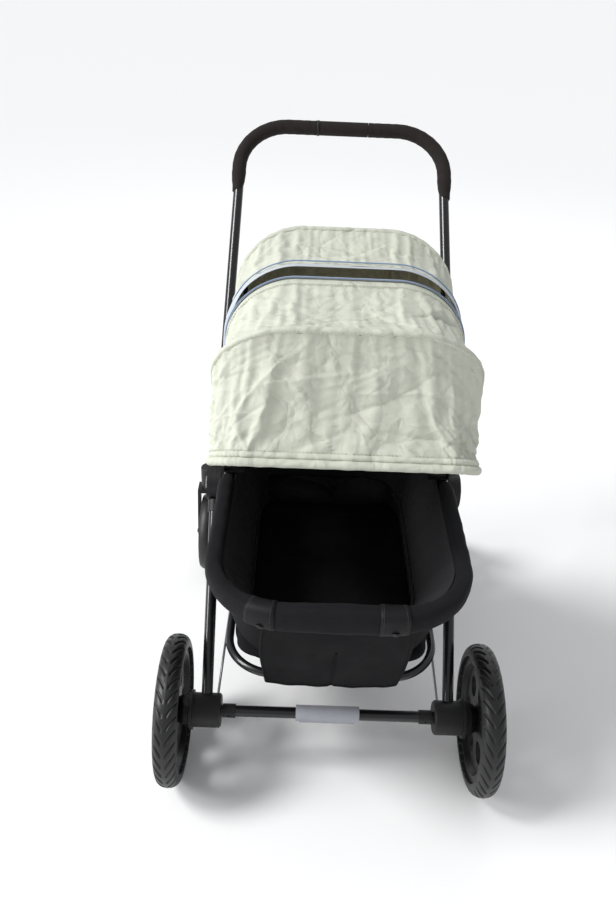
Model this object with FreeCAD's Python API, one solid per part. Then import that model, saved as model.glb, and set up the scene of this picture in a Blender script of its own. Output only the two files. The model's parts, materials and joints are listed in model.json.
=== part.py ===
"""Pet stroller: folding X frame, swivel casters, lift-off bassinet with a hooped canopy.

Millimetres, +Z up. The origin is on the floor under the middle of the overall length.
The big fixed wheels are at -Y, the swivel casters and the handle at +Y. "left" is -X.
"""
import FreeCAD, Part
import math
import os

V = FreeCAD.Vector
SIDES = {"left": -1, "right": 1}
X_AXIS = V(1, 0, 0)

# ---- driving dimensions ----
REAR_AXLE = (-405.0, 145.0)          # (y, z) of the fixed wheels' axle
FRAME_PIVOT = (-75.0, 459.0)         # (y, z) of the joint where legs and handle meet
HANDLE_BAR = (541.0, 1044.0)         # (y, z) of the hand grip
CASTER_WHEEL = (215.0, 100.0)        # (y, z) of the swivel wheels' axle
CASTER_STEM_Y = 245.0
WHEEL_TRACK_X = 300.0                # middle plane of every wheel
LEG_FOOT_X = 237.0                   # legs at the rear axle
PIVOT_X = 246.0                      # leg and handle tubes at the frame pivot
HANDLE_X = 232.0                     # handle tube at the grip
TUBE_R = 11.0
TUBE_BORE_R = 9.5
FIT = 0.05                           # radial running clearance of a shaft in a bore

REAR_TYRE_R = 145.0
REAR_TYRE_W = 44.5
REAR_RIM_R = 119.0
FRONT_TYRE_R = 100.0
FRONT_TYRE_W = 38.0
FRONT_RIM_R = 78.0

RIM_HALF_X = 212.0                   # bassinet rim tube, centre line
RIM_FRONT_Y = -541.0
RIM_REAR_Y = 143.0
RIM_Z = 535.0
RIM_R = 8.0
RIM_CORNER_R = 125.0
BUMPER_R = 16.0                      # padding round the front of the rim
BASE_HALF_X = 195.0                  # tube loop under the bassinet floor
BASE_FRONT_Y = -432.0
BASE_REAR_Y = 110.0
BASE_Z = 283.0

CANOPY_PIVOT = (-146.0, 556.0)
HOOP_R = 4.0
# name: (degrees up from +Y, crown distance from the pivot, half width, corner radius)
HOOPS = {
    "canopy_front_hoop": (146.0, 298.0, 214.0, 48.0),
    "canopy_second_hoop": (117.0, 419.0, 205.0, 120.0),
    "canopy_third_hoop": (90.0, 370.0, 196.0, 110.0),
    "canopy_rear_hoop": (66.0, 448.0, 187.0, 110.0),
}
FABRIC_T = 2.5
FABRIC_CLEAR = 5.0                   # fabric's inner face from a hoop's centre line

BASKET_HALF_X = 218.0
BASKET_REAR_Y = -215.0
BASKET_FRONT_Y = 115.0
BASKET_Z = 262.0
BASKET_BOTTOM_Z = 155.0


# ---- helpers ----
def unit(a, b):
    """Unit vector from a to b."""
    return (b - a).normalize()


def rod(a, b, radius):
    """Solid cylinder from point a to point b."""
    return Part.makeCylinder(radius, (b - a).Length, a, unit(a, b))


def box(x0, x1, y0, y1, z0, z1):
    """Axis-aligned block, with its limits in any order."""
    low = V(min(x0, x1), min(y0, y1), min(z0, z1))
    return Part.makeBox(abs(x1 - x0), abs(y1 - y0), abs(z1 - z0), low)


def soft_box(x0, x1, y0, y1, z0, z1, radius):
    """Block with every edge rounded."""
    block = box(x0, x1, y0, y1, z0, z1)
    return block.makeFillet(radius, block.Edges)


def bent_path(points, radii):
    """Open wire of straight runs joined by tangent arcs at the inner points."""
    edges = []
    start = points[0]
    for before, corner, after, radius in zip(points, points[1:], points[2:], radii):
        back = unit(corner, before)
        ahead = unit(corner, after)
        half = back.getAngle(ahead) / 2
        reach = radius / math.tan(half)
        enter = corner + back * reach
        leave = corner + ahead * reach
        middle = corner + (back + ahead).normalize() * (radius / math.sin(half) - radius)
        edges.append(Part.LineSegment(start, enter).toShape())
        edges.append(Part.Arc(enter, middle, leave).toShape())
        start = leave
    edges.append(Part.LineSegment(start, points[-1]).toShape())
    return Part.Wire(edges)


def pipe(path, radius):
    """Round section swept along a wire."""
    first = path.OrderedEdges[0]
    start = first.valueAt(first.FirstParameter)
    heading = first.tangentAt(first.FirstParameter)
    section = Part.Wire(Part.makeCircle(radius, start, heading))
    return path.makePipeShell([section], True, True)


def hollow_pipe(path, outer_r, inner_r):
    """Round tube swept along an open wire."""
    return pipe(path, outer_r).cut(pipe(path, inner_r))


def rounded_loop(half_x, y0, y1, z, radius_front, radius_rear):
    """Closed wire: a rounded rectangle in a level plane, from the middle of its rear side."""
    corners = [V(half_x, y1, z), V(half_x, y0, z), V(-half_x, y0, z), V(-half_x, y1, z)]
    radii = [radius_rear, radius_front, radius_front, radius_rear]
    start = V(0, y1, z)
    return bent_path([start] + corners + [start], radii)


def lofted(wires):
    """Ruled solid through closed wires."""
    return Part.makeLoft(wires, True, True)


def lathe_x(profile, x_sign, centre):
    """Solid of revolution about the X axis through centre (y, z).

    profile is a closed list of (distance outwards along X, radius).
    """
    points = [V(x_sign * x, centre[0], centre[1] + r) for x, r in profile]
    face = Part.Face(Part.makePolygon(points + points[:1]))
    return face.revolve(V(0, centre[0], centre[1]), X_AXIS, 360)


def along_x(x_sign, x0, x1, centre, radius):
    """Cylinder along X between two outward distances, centred on (y, z)."""
    return rod(V(x_sign * x0, *centre), V(x_sign * x1, *centre), radius)


# ---- frame lines ----
def foot_point(s):
    return V(s * LEG_FOOT_X, *REAR_AXLE)


def pivot_point(s):
    return V(s * PIVOT_X, *FRAME_PIVOT)


CROSS_TUBE = (232.0, 250.0)          # (y, z) of the tube between the casters
HANDLE_BEND_R = 110.0


def cross_point(s):
    return V(s * PIVOT_X, *CROSS_TUBE)


def grip_corner(s):
    return V(s * HANDLE_X, *HANDLE_BAR)


# ---- frame pivot knuckles ----
KNUCKLE_R = 36.0
KNUCKLE_LANES = {"rear": (233.0, 242.0), "front": (242.3, 251.7), "handle": (252.0, 261.0)}
COLLAR_R = 14.0
COLLAR_SPAN = (38.0, 62.0)           # distance of the tube collar from the pivot
TUBE_START = 42.0
NECK_HALF = 9.0
BOLT_R = 6.0
BOLT_HEAD_R = 12.0
BOLT_HEAD = (261.3, 266.0)


def knuckle(s, lane, towards):
    """Disc round the frame pivot with a neck and a collar that holds one tube."""
    x0, x1 = KNUCKLE_LANES[lane]
    pivot = pivot_point(s)
    heading = unit(pivot, towards)
    disc = along_x(s, x0, x1, FRAME_PIVOT, KNUCKLE_R)
    collar = rod(pivot + heading * COLLAR_SPAN[0], pivot + heading * COLLAR_SPAN[1], COLLAR_R)
    neck = box(s * x0, s * x1, -NECK_HALF, NECK_HALF, 0, COLLAR_SPAN[0] + TUBE_START - KNUCKLE_R)
    angle = math.degrees(math.atan2(heading.y, heading.z))
    neck.rotate(V(0, 0, 0), X_AXIS, -angle)
    neck.translate(V(0, *FRAME_PIVOT))
    hole = along_x(s, x0 - 1, x1 + 1, FRAME_PIVOT, BOLT_R + (0 if lane == "rear" else FIT))
    seat = rod(pivot + heading * TUBE_START, towards, TUBE_R)
    return disc.fuse([collar, neck]).cut(hole).cut(seat).removeSplitter()


SOCKET_X = (219.0, 233.0)
SOCKET_HALF_Y = 28.0
SOCKET_Z = (440.0, 480.0)
POCKET_X = (222.0, 230.0)
POCKET_HALF_Y = 15.0
POCKET_FLOOR_Z = 445.0


def rear_knuckle(s):
    """Fixed knuckle with the socket that the bassinet drops into."""
    y = FRAME_PIVOT[0]
    socket = box(s * SOCKET_X[0], s * SOCKET_X[1], y - SOCKET_HALF_Y, y + SOCKET_HALF_Y, *SOCKET_Z)
    pocket = box(s * POCKET_X[0], s * POCKET_X[1], y - POCKET_HALF_Y, y + POCKET_HALF_Y,
                 POCKET_FLOOR_Z, SOCKET_Z[1] + 1)
    return knuckle(s, "rear", foot_point(s)).fuse(socket).cut(pocket).removeSplitter()


def pivot_bolts():
    """The two bolts that the legs and the handle turn on."""
    solids = []
    for s in SIDES.values():
        shank = along_x(s, KNUCKLE_LANES["rear"][0], BOLT_HEAD[1], FRAME_PIVOT, BOLT_R)
        head = along_x(s, *BOLT_HEAD, FRAME_PIVOT, BOLT_HEAD_R)
        solids.append(shank.fuse(head).removeSplitter())
    return Part.makeCompound(solids)


# ---- rear legs and brake ----
HOUSING_X = (208.0, 262.0)
HOUSING_R = 33.0
FLANGE_X = (262.0, 268.0)
FLANGE_R = 38.0
STUB_R = 6.0
STUB_X = (226.0, 321.0)
BAR_END_X = 220.0
PIN_R = 2.5
PIN_RING_R = 24.0                    # brake pins' distance from the axle
PIN_X = (238.0, 267.5)
PIN_TRAVEL = 8.0
SLEEVE_HALF_X = 62.0
SLEEVE_R = 15.5
BAR_COLLAR_X = (180.0, 205.0)
BAR_COLLAR_R = 13.5
SPRING_PIN_R = 2.0


def pin_centre():
    return (REAR_AXLE[0] + PIN_RING_R, REAR_AXLE[1])


def axle_housing(s):
    """Drum at the foot of a rear leg: holds the stub axle, the brake bar and the pin."""
    body = along_x(s, *HOUSING_X, REAR_AXLE, HOUSING_R)
    body = body.makeChamfer(3.0, [e for e in body.Edges if abs(e.CenterOfMass.x) < HOUSING_X[0] + 1
                                  and e.Curve.TypeId == "Part::GeomCircle"])
    body = body.fuse(along_x(s, *FLANGE_X, REAR_AXLE, FLANGE_R))
    body = body.cut(along_x(s, HOUSING_X[0] - 1, BAR_END_X + 1, REAR_AXLE, TUBE_R + FIT))
    body = body.cut(along_x(s, STUB_X[0], FLANGE_X[1] + 1, REAR_AXLE, STUB_R))
    track = along_x(s, PIN_X[0] - 1, FLANGE_X[1] + 1, pin_centre(), PIN_R + FIT)
    return body.cut(track).removeSplitter()


def rear_leg(s):
    """Straight tube from the axle housing to the frame pivot."""
    foot = foot_point(s)
    top = pivot_point(s) + unit(pivot_point(s), foot) * TUBE_START
    tube = rod(foot, top, TUBE_R).cut(rod(foot, top, TUBE_BORE_R))
    tube = tube.cut(along_x(s, *HOUSING_X, REAR_AXLE, HOUSING_R))
    return max(tube.Solids, key=lambda solid: solid.Volume)


def stub_axles():
    return Part.makeCompound([along_x(s, *STUB_X, REAR_AXLE, STUB_R) for s in SIDES.values()])


def brake_bar():
    """Tube across the rear that the foot turns."""
    ends = V(-BAR_END_X, *REAR_AXLE), V(BAR_END_X, *REAR_AXLE)
    return rod(*ends, TUBE_R).cut(rod(*ends, TUBE_BORE_R))


def brake_sleeve():
    """Foot sleeve round the middle of the bar, fuller along its underside."""
    y, z = REAR_AXLE
    sleeve = rod(V(-SLEEVE_HALF_X, y, z), V(SLEEVE_HALF_X, y, z), SLEEVE_R)
    belly = soft_box(-SLEEVE_HALF_X + 6, SLEEVE_HALF_X - 6, y - 9, y + 9, z - SLEEVE_R - 4, z, 4.0)
    return sleeve.fuse(belly).cut(rod(V(-100, y, z), V(100, y, z), TUBE_R)).removeSplitter()


def bar_collars():
    """Stop collars at the ends of the bar, each with a spring pin hole."""
    solids = []
    y, z = REAR_AXLE
    for s in SIDES.values():
        collar = along_x(s, *BAR_COLLAR_X, REAR_AXLE, BAR_COLLAR_R)
        collar = collar.cut(along_x(s, BAR_COLLAR_X[0] - 1, BAR_COLLAR_X[1] + 1, REAR_AXLE, TUBE_R))
        middle = s * sum(BAR_COLLAR_X) / 2
        solids.append(collar.cut(rod(V(middle, y - 20, z), V(middle, y, z), SPRING_PIN_R)))
    return Part.makeCompound(solids)


def brake_pin(s):
    return along_x(s, *PIN_X, pin_centre(), PIN_R)


# ---- wheels ----
HUB_X = (270.0, 322.0)
BRAKE_RING_R = 32.0
SOCKET_COUNT = 12
SOCKET_DEPTH = 6.5
WINDOW_COUNT = 6


def tyre(s, centre, outer_r, inner_r, width):
    """Rounded tyre section turned about the axle."""
    half = width / 2
    shoulder = outer_r - half * 0.55
    x = WHEEL_TRACK_X
    corner = [V(s * (x + dx), centre[0], centre[1] + r) for dx, r in (
        (-half * 0.72, inner_r), (-half, shoulder - 6), (-half * 0.93, shoulder + 3), (0, outer_r),
        (half * 0.93, shoulder + 3), (half, shoulder - 6), (half * 0.72, inner_r))]
    edges = [
        Part.LineSegment(corner[0], corner[1]).toShape(),
        Part.LineSegment(corner[1], corner[2]).toShape(),
        Part.Arc(corner[2], corner[3], corner[4]).toShape(),
        Part.LineSegment(corner[4], corner[5]).toShape(),
        Part.LineSegment(corner[5], corner[6]).toShape(),
        Part.LineSegment(corner[6], corner[0]).toShape(),
    ]
    return Part.Face(Part.Wire(edges)).revolve(V(0, *centre), X_AXIS, 360)


def spoke_windows(s, centre, x0, x1, ring_r, window_r):
    """Cutters for the round windows between the spokes."""
    cutters = []
    for index in range(WINDOW_COUNT):
        angle = 2 * math.pi * (index + 0.5) / WINDOW_COUNT
        at = (centre[0] + ring_r * math.cos(angle), centre[1] + ring_r * math.sin(angle))
        cutters.append(along_x(s, x0, x1, at, window_r))
    return cutters


def rear_rim(s):
    """Deep-dished wheel with a hub, a web with windows and a ring of brake sockets."""
    inner, outer = WHEEL_TRACK_X - 16.0, WHEEL_TRACK_X + 16.0
    profile = [
        (HUB_X[0], STUB_R + FIT), (HUB_X[0], BRAKE_RING_R), (HUB_X[0] + 9, BRAKE_RING_R),
        (inner + 8, 24), (inner + 10, 100), (inner, 106), (inner, REAR_RIM_R),
        (outer, REAR_RIM_R), (outer, 106), (inner + 20, 100), (inner + 18, 26),
        (HUB_X[1], 22), (HUB_X[1], STUB_R + FIT),
    ]
    wheel = lathe_x(profile, s, REAR_AXLE)
    wheel = wheel.cut(spoke_windows(s, REAR_AXLE, inner, outer, 64.0, 21.0))
    sockets = []
    for index in range(SOCKET_COUNT):
        angle = 2 * math.pi * index / SOCKET_COUNT
        at = (REAR_AXLE[0] + PIN_RING_R * math.cos(angle), REAR_AXLE[1] + PIN_RING_R * math.sin(angle))
        sockets.append(along_x(s, HUB_X[0] - 1, HUB_X[0] + SOCKET_DEPTH, at, PIN_R + 1.0))
    return wheel.cut(sockets)


def hub_cap(s):
    """Domed cap on the outer end of a rear hub."""
    profile = [(322, 0), (322, 30), (325, 29), (329, 20), (330.5, 0)]
    return lathe_x(profile, s, REAR_AXLE)


def front_rim(s):
    """Small caster wheel with a dished web."""
    inner, outer = WHEEL_TRACK_X - 13.0, WHEEL_TRACK_X + 13.0
    profile = [
        (280, CASTER_AXLE_R + FIT), (280, 15), (inner + 6, 17), (inner + 8, 64), (inner, 70),
        (inner, FRONT_RIM_R), (outer, FRONT_RIM_R), (outer, 70), (outer - 8, 64), (outer - 6, 17),
        (320, 15), (320, CASTER_AXLE_R + FIT),
    ]
    wheel = lathe_x(profile, s, CASTER_WHEEL)
    return wheel.cut(spoke_windows(s, CASTER_WHEEL, inner, outer, 41.0, 13.0))


# ---- front frame and casters ----
CASTER_AXLE_R = 5.0
CASTER_HOUSING_R = 20.0
CASTER_HOUSING_Z = (222.0, 282.0)
STEM_R = 6.0
STEM_TOP_Z = 276.0
CROWN_Z = (211.0, 221.0)
CHEEK_X = (23.0, 28.0)               # fork cheeks, out from the wheel's middle plane
CHEEK_HALF = 13.0


def caster_housing(s):
    """Upright barrel that the caster's stem turns in."""
    low, high = CASTER_HOUSING_Z
    x = s * WHEEL_TRACK_X
    barrel = rod(V(x, CASTER_STEM_Y, low), V(x, CASTER_STEM_Y, high), CASTER_HOUSING_R)
    barrel = barrel.makeFillet(4.0, [e for e in barrel.Edges if e.CenterOfMass.z > high - 1
                                     and e.Curve.TypeId == "Part::GeomCircle"])
    bore = rod(V(x, CASTER_STEM_Y, low - 1), V(x, CASTER_STEM_Y, STEM_TOP_Z + 1), STEM_R + FIT)
    return barrel.cut(bore)


def cross_tube():
    """Tube between the two caster housings."""
    ends = V(-WHEEL_TRACK_X, *CROSS_TUBE), V(WHEEL_TRACK_X, *CROSS_TUBE)
    tube = rod(*ends, TUBE_R).cut(rod(*ends, TUBE_BORE_R))
    low, high = CASTER_HOUSING_Z
    for s in SIDES.values():
        x = s * WHEEL_TRACK_X
        tube = tube.cut(rod(V(x, CASTER_STEM_Y, low), V(x, CASTER_STEM_Y, high), CASTER_HOUSING_R))
    return max(tube.Solids, key=lambda solid: solid.Volume)


def front_leg(s):
    """Straight tube from the frame pivot to the cross tube."""
    end = cross_point(s)
    top = pivot_point(s) + unit(pivot_point(s), end) * TUBE_START
    tube = rod(top, end, TUBE_R).cut(rod(top, end, TUBE_BORE_R))
    ends = V(-WHEEL_TRACK_X, *CROSS_TUBE), V(WHEEL_TRACK_X, *CROSS_TUBE)
    tube = tube.cut(rod(*ends, TUBE_R))
    return max(tube.Solids, key=lambda solid: solid.Volume)


def fork_cheek(s, side):
    """One side plate of a caster fork, from the crown to the axle."""
    x0 = s * WHEEL_TRACK_X + side * CHEEK_X[0]
    x1 = s * WHEEL_TRACK_X + side * CHEEK_X[1]
    y, z = CASTER_WHEEL
    outline = [
        V(x0, CASTER_STEM_Y - 19, CROWN_Z[1]), V(x0, CASTER_STEM_Y + 19, CROWN_Z[1]),
        V(x0, CASTER_STEM_Y + 19, CROWN_Z[0] - 14), V(x0, y + CHEEK_HALF, z),
        V(x0, y - CHEEK_HALF, z), V(x0, CASTER_STEM_Y - 24, CROWN_Z[0] - 14),
    ]
    plate = Part.Face(Part.makePolygon(outline + outline[:1])).extrude(V(x1 - x0, 0, 0))
    eye = rod(V(x0, y, z), V(x1, y, z), CHEEK_HALF)
    return plate.fuse(eye)


def caster_fork(s):
    """Fork with its swivel stem and the wheel's axle."""
    x = s * WHEEL_TRACK_X
    reach = CHEEK_X[1]
    crown = box(x - reach, x + reach, CASTER_STEM_Y - 19, CASTER_STEM_Y + 19, *CROWN_Z)
    stem = rod(V(x, CASTER_STEM_Y, CROWN_Z[0]), V(x, CASTER_STEM_Y, STEM_TOP_Z), STEM_R)
    axle = rod(V(x - reach - 3, *CASTER_WHEEL), V(x + reach + 3, *CASTER_WHEEL), CASTER_AXLE_R)
    pieces = [stem, axle, fork_cheek(s, 1), fork_cheek(s, -1)]
    return crown.fuse(pieces).removeSplitter()


# ---- handle ----
GRIP_R = 16.0
GRIP_ARM = 130.0                     # foam's reach down each arm from the corner
CENTRE_GRIP_HALF = 58.0
SEAM = 1.5


def handle_path():
    points = []
    for s in (-1, 1):
        start = pivot_point(s) + unit(pivot_point(s), grip_corner(s)) * TUBE_START
        points.append((start, grip_corner(s)))
    (left_start, left_corner), (right_start, right_corner) = points
    return bent_path([left_start, left_corner, right_corner, right_start], [HANDLE_BEND_R] * 2)


def handle_tube():
    return hollow_pipe(handle_path(), TUBE_R, TUBE_BORE_R)


def handle_grip(s):
    """Foam from a point on the arm, round the corner, to the middle grip."""
    corner = grip_corner(s)
    low = corner + unit(corner, pivot_point(s)) * GRIP_ARM
    end = V(s * (CENTRE_GRIP_HALF + SEAM), *HANDLE_BAR)
    path = bent_path([low, corner, end], [HANDLE_BEND_R])
    return hollow_pipe(path, GRIP_R, TUBE_R)


def handle_middle_grip():
    ends = V(-CENTRE_GRIP_HALF, *HANDLE_BAR), V(CENTRE_GRIP_HALF, *HANDLE_BAR)
    return rod(*ends, GRIP_R).cut(rod(*ends, TUBE_R))


# ---- bassinet ----
TUB_T = 4.0
TUB_TOP_Z = 540.0
TUB_BOTTOM_Z = 296.0
TUB_INSET = 17.0                     # tub wall inside the rim tube's centre line
BASE_CORNER_R = 90.0
BOARD_Z = (TUB_BOTTOM_Z + TUB_T + 0.3, TUB_BOTTOM_Z + TUB_T + 6.3)
PAD_Z = (BOARD_Z[1] + 0.3, BOARD_Z[1] + 24.0)
REAR_CORNER_R = 90.0


def rim_frame():
    """Tube round the top of the bassinet."""
    loop = rounded_loop(RIM_HALF_X, RIM_FRONT_Y, RIM_REAR_Y, RIM_Z, RIM_CORNER_R, REAR_CORNER_R)
    return pipe(loop, RIM_R)


BUMPER_END_Y = -172.0


def bumper():
    """Padded U round the front of the rim."""
    points = [
        V(-RIM_HALF_X, BUMPER_END_Y, RIM_Z), V(-RIM_HALF_X, RIM_FRONT_Y, RIM_Z),
        V(RIM_HALF_X, RIM_FRONT_Y, RIM_Z), V(RIM_HALF_X, BUMPER_END_Y, RIM_Z),
    ]
    path = bent_path(points, [RIM_CORNER_R] * 2)
    return hollow_pipe(path, BUMPER_R, RIM_R + 0.3)


def tub_level(z, inset):
    """Rounded-rectangle section of the tub at height z, drawn in by inset."""
    share = (z - TUB_BOTTOM_Z) / (TUB_TOP_Z - TUB_BOTTOM_Z)

    def mix(low, high):
        return low + (high - low) * share

    half = mix(BASE_HALF_X - 4, RIM_HALF_X - TUB_INSET) - inset
    front = mix(BASE_FRONT_Y + 8, RIM_FRONT_Y + TUB_INSET) + inset
    rear = mix(BASE_REAR_Y - 8, RIM_REAR_Y - TUB_INSET) - inset
    front_r = mix(BASE_CORNER_R, RIM_CORNER_R - TUB_INSET) - inset
    rear_r = mix(BASE_CORNER_R - 10, REAR_CORNER_R - TUB_INSET) - inset
    return rounded_loop(half, front, rear, z, front_r, rear_r)


def tub_shell():
    """Fabric tub, open at the top, narrower and shorter at its floor."""
    outer = lofted([tub_level(TUB_BOTTOM_Z, 0), tub_level(TUB_TOP_Z, 0)])
    inner = lofted([tub_level(TUB_BOTTOM_Z + TUB_T, TUB_T), tub_level(TUB_TOP_Z + 1, TUB_T)])
    return outer.cut(inner)


def floor_layer(z_range, inset):
    """Level slab on the tub's floor."""
    low, high = z_range
    outline = tub_level(low, TUB_T + inset)
    return Part.Face(outline).extrude(V(0, 0, high - low))


def base_frame():
    """Tube loop under the tub's floor."""
    loop = rounded_loop(BASE_HALF_X, BASE_FRONT_Y, BASE_REAR_Y, BASE_Z, BASE_CORNER_R, BASE_CORNER_R)
    return pipe(loop, RIM_R)


SKIRT_HALF_X = 120.0
SKIRT_T = 3.0


def front_skirt():
    """Panel from the bumper down over the front of the base tube."""
    half = SKIRT_HALF_X
    top = V(-half, RIM_FRONT_Y + 14, RIM_Z - 20)
    bottom = V(-half, BASE_FRONT_Y - RIM_R - 1.5, BASE_Z)
    hem = V(-half, BASE_FRONT_Y - RIM_R - 1.5, BASE_Z - 14)
    out = V(0, -SKIRT_T, 0)
    outline = [top, bottom, hem, hem + out, bottom + out, top + out]
    return Part.Face(Part.makePolygon(outline + outline[:1])).extrude(V(2 * half, 0, 0))


BOLSTER = (50.0, 361.0)              # (y, z) of the cushion roll at the tub's rear
BOLSTER_R = 30.4
BOLSTER_HALF_X = 140.0


def bolster():
    return rod(V(-BOLSTER_HALF_X, *BOLSTER), V(BOLSTER_HALF_X, *BOLSTER), BOLSTER_R)


ADAPTER_X = (216.0, 231.0)
ADAPTER_HALF_Y = 22.0
ADAPTER_Z = (SOCKET_Z[1] + 0.1, 546.0)
TONGUE_GAP = 0.3


def adapters():
    """Blocks on the rim whose tongues drop into the frame's sockets."""
    solids = []
    y = FRAME_PIVOT[0]
    rim = rod(V(-RIM_HALF_X, y - 60, RIM_Z), V(-RIM_HALF_X, y + 60, RIM_Z), RIM_R)
    for s in SIDES.values():
        block = box(s * ADAPTER_X[0], s * ADAPTER_X[1], y - ADAPTER_HALF_Y, y + ADAPTER_HALF_Y, *ADAPTER_Z)
        tongue = box(s * (POCKET_X[0] + TONGUE_GAP), s * (POCKET_X[1] - TONGUE_GAP),
                     y - POCKET_HALF_Y + TONGUE_GAP, y + POCKET_HALF_Y - TONGUE_GAP,
                     POCKET_FLOOR_Z + 1, ADAPTER_Z[0] + 1)
        tube = rim.copy()
        tube.translate(V((1 + s) * RIM_HALF_X, 0, 0))
        solids.append(block.fuse(tongue).cut(tube).removeSplitter())
    return Part.makeCompound(solids)


# ---- canopy ----
HINGE_PIN_R = 2.5
EYE_R = 8.0
EYE_HALF_X = 4.3
CHEEKS = ((179.5, 182.0), (219.0, 221.5))
HINGE_BASE_Z = (RIM_Z + RIM_R + 0.2, RIM_Z + RIM_R + 3.0)
HINGE_HALF_Y = 14.0


def canopy_hinges():
    """Bracket on each side of the rim with the pin that the hoops turn on."""
    solids = []
    y, z = CANOPY_PIVOT
    for s in SIDES.values():
        base = box(s * CHEEKS[0][0], s * CHEEKS[1][1], y - HINGE_HALF_Y, y + HINGE_HALF_Y, *HINGE_BASE_Z)
        pieces = [along_x(s, CHEEKS[0][0], CHEEKS[1][1], CANOPY_PIVOT, HINGE_PIN_R)]
        for x0, x1 in CHEEKS:
            pieces.append(box(s * x0, s * x1, y - HINGE_HALF_Y, y + HINGE_HALF_Y, HINGE_BASE_Z[0], z + 9))
        solids.append(base.fuse(pieces).removeSplitter())
    return Part.makeCompound(solids)


def on_hoop_plane(angle, x, reach, lift):
    """Point of a hoop's plane: reach out from the pivot, lift along the plane's normal (rearward)."""
    a = math.radians(angle)
    y = CANOPY_PIVOT[0] + reach * math.cos(a) + lift * math.sin(a)
    z = CANOPY_PIVOT[1] + reach * math.sin(a) - lift * math.cos(a)
    return V(x, y, z)


def canopy_hoop(name):
    """U-shaped rod with an eye at each end."""
    angle, reach, half, corner = HOOPS[name]
    points = [
        on_hoop_plane(angle, -half, 6, 0), on_hoop_plane(angle, -half, reach, 0),
        on_hoop_plane(angle, half, reach, 0), on_hoop_plane(angle, half, 6, 0),
    ]
    rod_solid = pipe(bent_path(points, [corner] * 2), HOOP_R)
    eyes = [along_x(s, half - EYE_HALF_X, half + EYE_HALF_X, CANOPY_PIVOT, EYE_R) for s in SIDES.values()]
    pins = [along_x(s, half - 8, half + 8, CANOPY_PIVOT, HINGE_PIN_R + FIT) for s in SIDES.values()]
    return rod_solid.fuse(eyes).cut(pins).removeSplitter()


PANEL_ROOT = 62.0                    # distance from the pivot where the fabric starts


def fabric_band(hoop, lift, outset=FABRIC_CLEAR):
    """Closed band round a hoop's outline: one section of a canopy panel."""
    angle, reach, half, corner = hoop

    def outline(grow):
        points = [
            on_hoop_plane(angle, -half - grow, PANEL_ROOT, lift),
            on_hoop_plane(angle, -half - grow, reach + grow, lift),
            on_hoop_plane(angle, half + grow, reach + grow, lift),
            on_hoop_plane(angle, half + grow, PANEL_ROOT, lift),
        ]
        return bent_path(points, [corner + grow] * 2)

    inner = outline(outset)
    outer = outline(outset + FABRIC_T)
    ends = []
    for index in (0, -1):
        ends.append(Part.LineSegment(inner.OrderedVertexes[index].Point,
                                     outer.OrderedVertexes[index].Point).toShape())
    return Part.Wire(Part.__sortEdges__(inner.Edges + outer.Edges + ends))


def canopy_panel(front_hoop, rear_hoop):
    """Fabric between two hoops, clear of both rods."""
    lift = HOOP_R + 1.0
    return lofted([fabric_band(front_hoop, lift), fabric_band(rear_hoop, -lift)])


SLOT_HALF_X = 120.0


def canopy_vent_panel():
    """Panel behind the third hoop with its long ventilation slot open."""
    panel = canopy_panel(HOOPS["canopy_third_hoop"], HOOPS["canopy_rear_hoop"])
    near = on_hoop_plane(86.5, 0, 300, 0)
    far = on_hoop_plane(82.0, 0, 300, 0)
    slot = box(-SLOT_HALF_X, SLOT_HALF_X, near.y, far.y + 12, CANOPY_PIVOT[1] + 300, CANOPY_PIVOT[1] + 480)
    return panel.cut(slot)


BACK_HEM = (0.0, 285.0, 187.0, 100.0)     # level section just above the rear rim
BACK_HEM_LIFT = 4.0


def canopy_back():
    """Rear of the canopy, from the last hoop down to the rim."""
    top = fabric_band(HOOPS["canopy_rear_hoop"], HOOP_R + 1.0)
    return lofted([top, fabric_band(BACK_HEM, BACK_HEM_LIFT)])


# ---- basket ----
BASKET_ROD_R = 4.0
BASKET_T = 2.5
STAY_R = 2.5
STRAP_HALF_Y = 13.0
STRAP_X = (219.5, 222.0)


def basket_rim():
    """Wire loop round the mouth of the basket."""
    loop = rounded_loop(BASKET_HALF_X, BASKET_REAR_Y, BASKET_FRONT_Y, BASKET_Z, 50.0, 50.0)
    return pipe(loop, BASKET_ROD_R)


def basket_bag():
    """Open fabric bag hung inside the wire loop."""
    gap = BASKET_ROD_R + 0.5

    def level(z, inset, drop):
        return rounded_loop(BASKET_HALF_X - gap - inset - drop, BASKET_REAR_Y + gap + inset + drop,
                            BASKET_FRONT_Y - gap - inset - drop * 1.4, z, 45.0 - inset, 45.0 - inset)

    outer = lofted([level(BASKET_BOTTOM_Z, 0, 16), level(BASKET_Z, 0, 0)])
    inner = lofted([level(BASKET_BOTTOM_Z + BASKET_T, BASKET_T, 16), level(BASKET_Z + 1, BASKET_T, 0)])
    return outer.cut(inner)


def basket_stays():
    """Wires from the axle housings to the basket's rear corners."""
    solids = []
    y, z = REAR_AXLE
    housings = [along_x(s, *HOUSING_X, REAR_AXLE, HOUSING_R) for s in SIDES.values()]
    rim = basket_rim()
    for s in SIDES.values():
        low = V(s * 216, y + 18, z + 20)
        high = V(s * (BASKET_HALF_X - 15), BASKET_REAR_Y + 12, BASKET_Z + 1)
        wire = rod(low, high, STAY_R).cut(housings + [rim])
        solids.append(max(wire.Solids, key=lambda solid: solid.Volume))
    return Part.makeCompound(solids)


def basket_straps():
    """Webbing from the frame's sockets down to the basket's loop."""
    solids = []
    y = FRAME_PIVOT[0]
    rim = basket_rim()
    for s in SIDES.values():
        strap = box(s * STRAP_X[0], s * STRAP_X[1], y - STRAP_HALF_Y, y + STRAP_HALF_Y,
                    BASKET_Z, SOCKET_Z[0])
        solids.append(max(strap.cut(rim).Solids, key=lambda solid: solid.Volume))
    return Part.makeCompound(solids)


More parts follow.
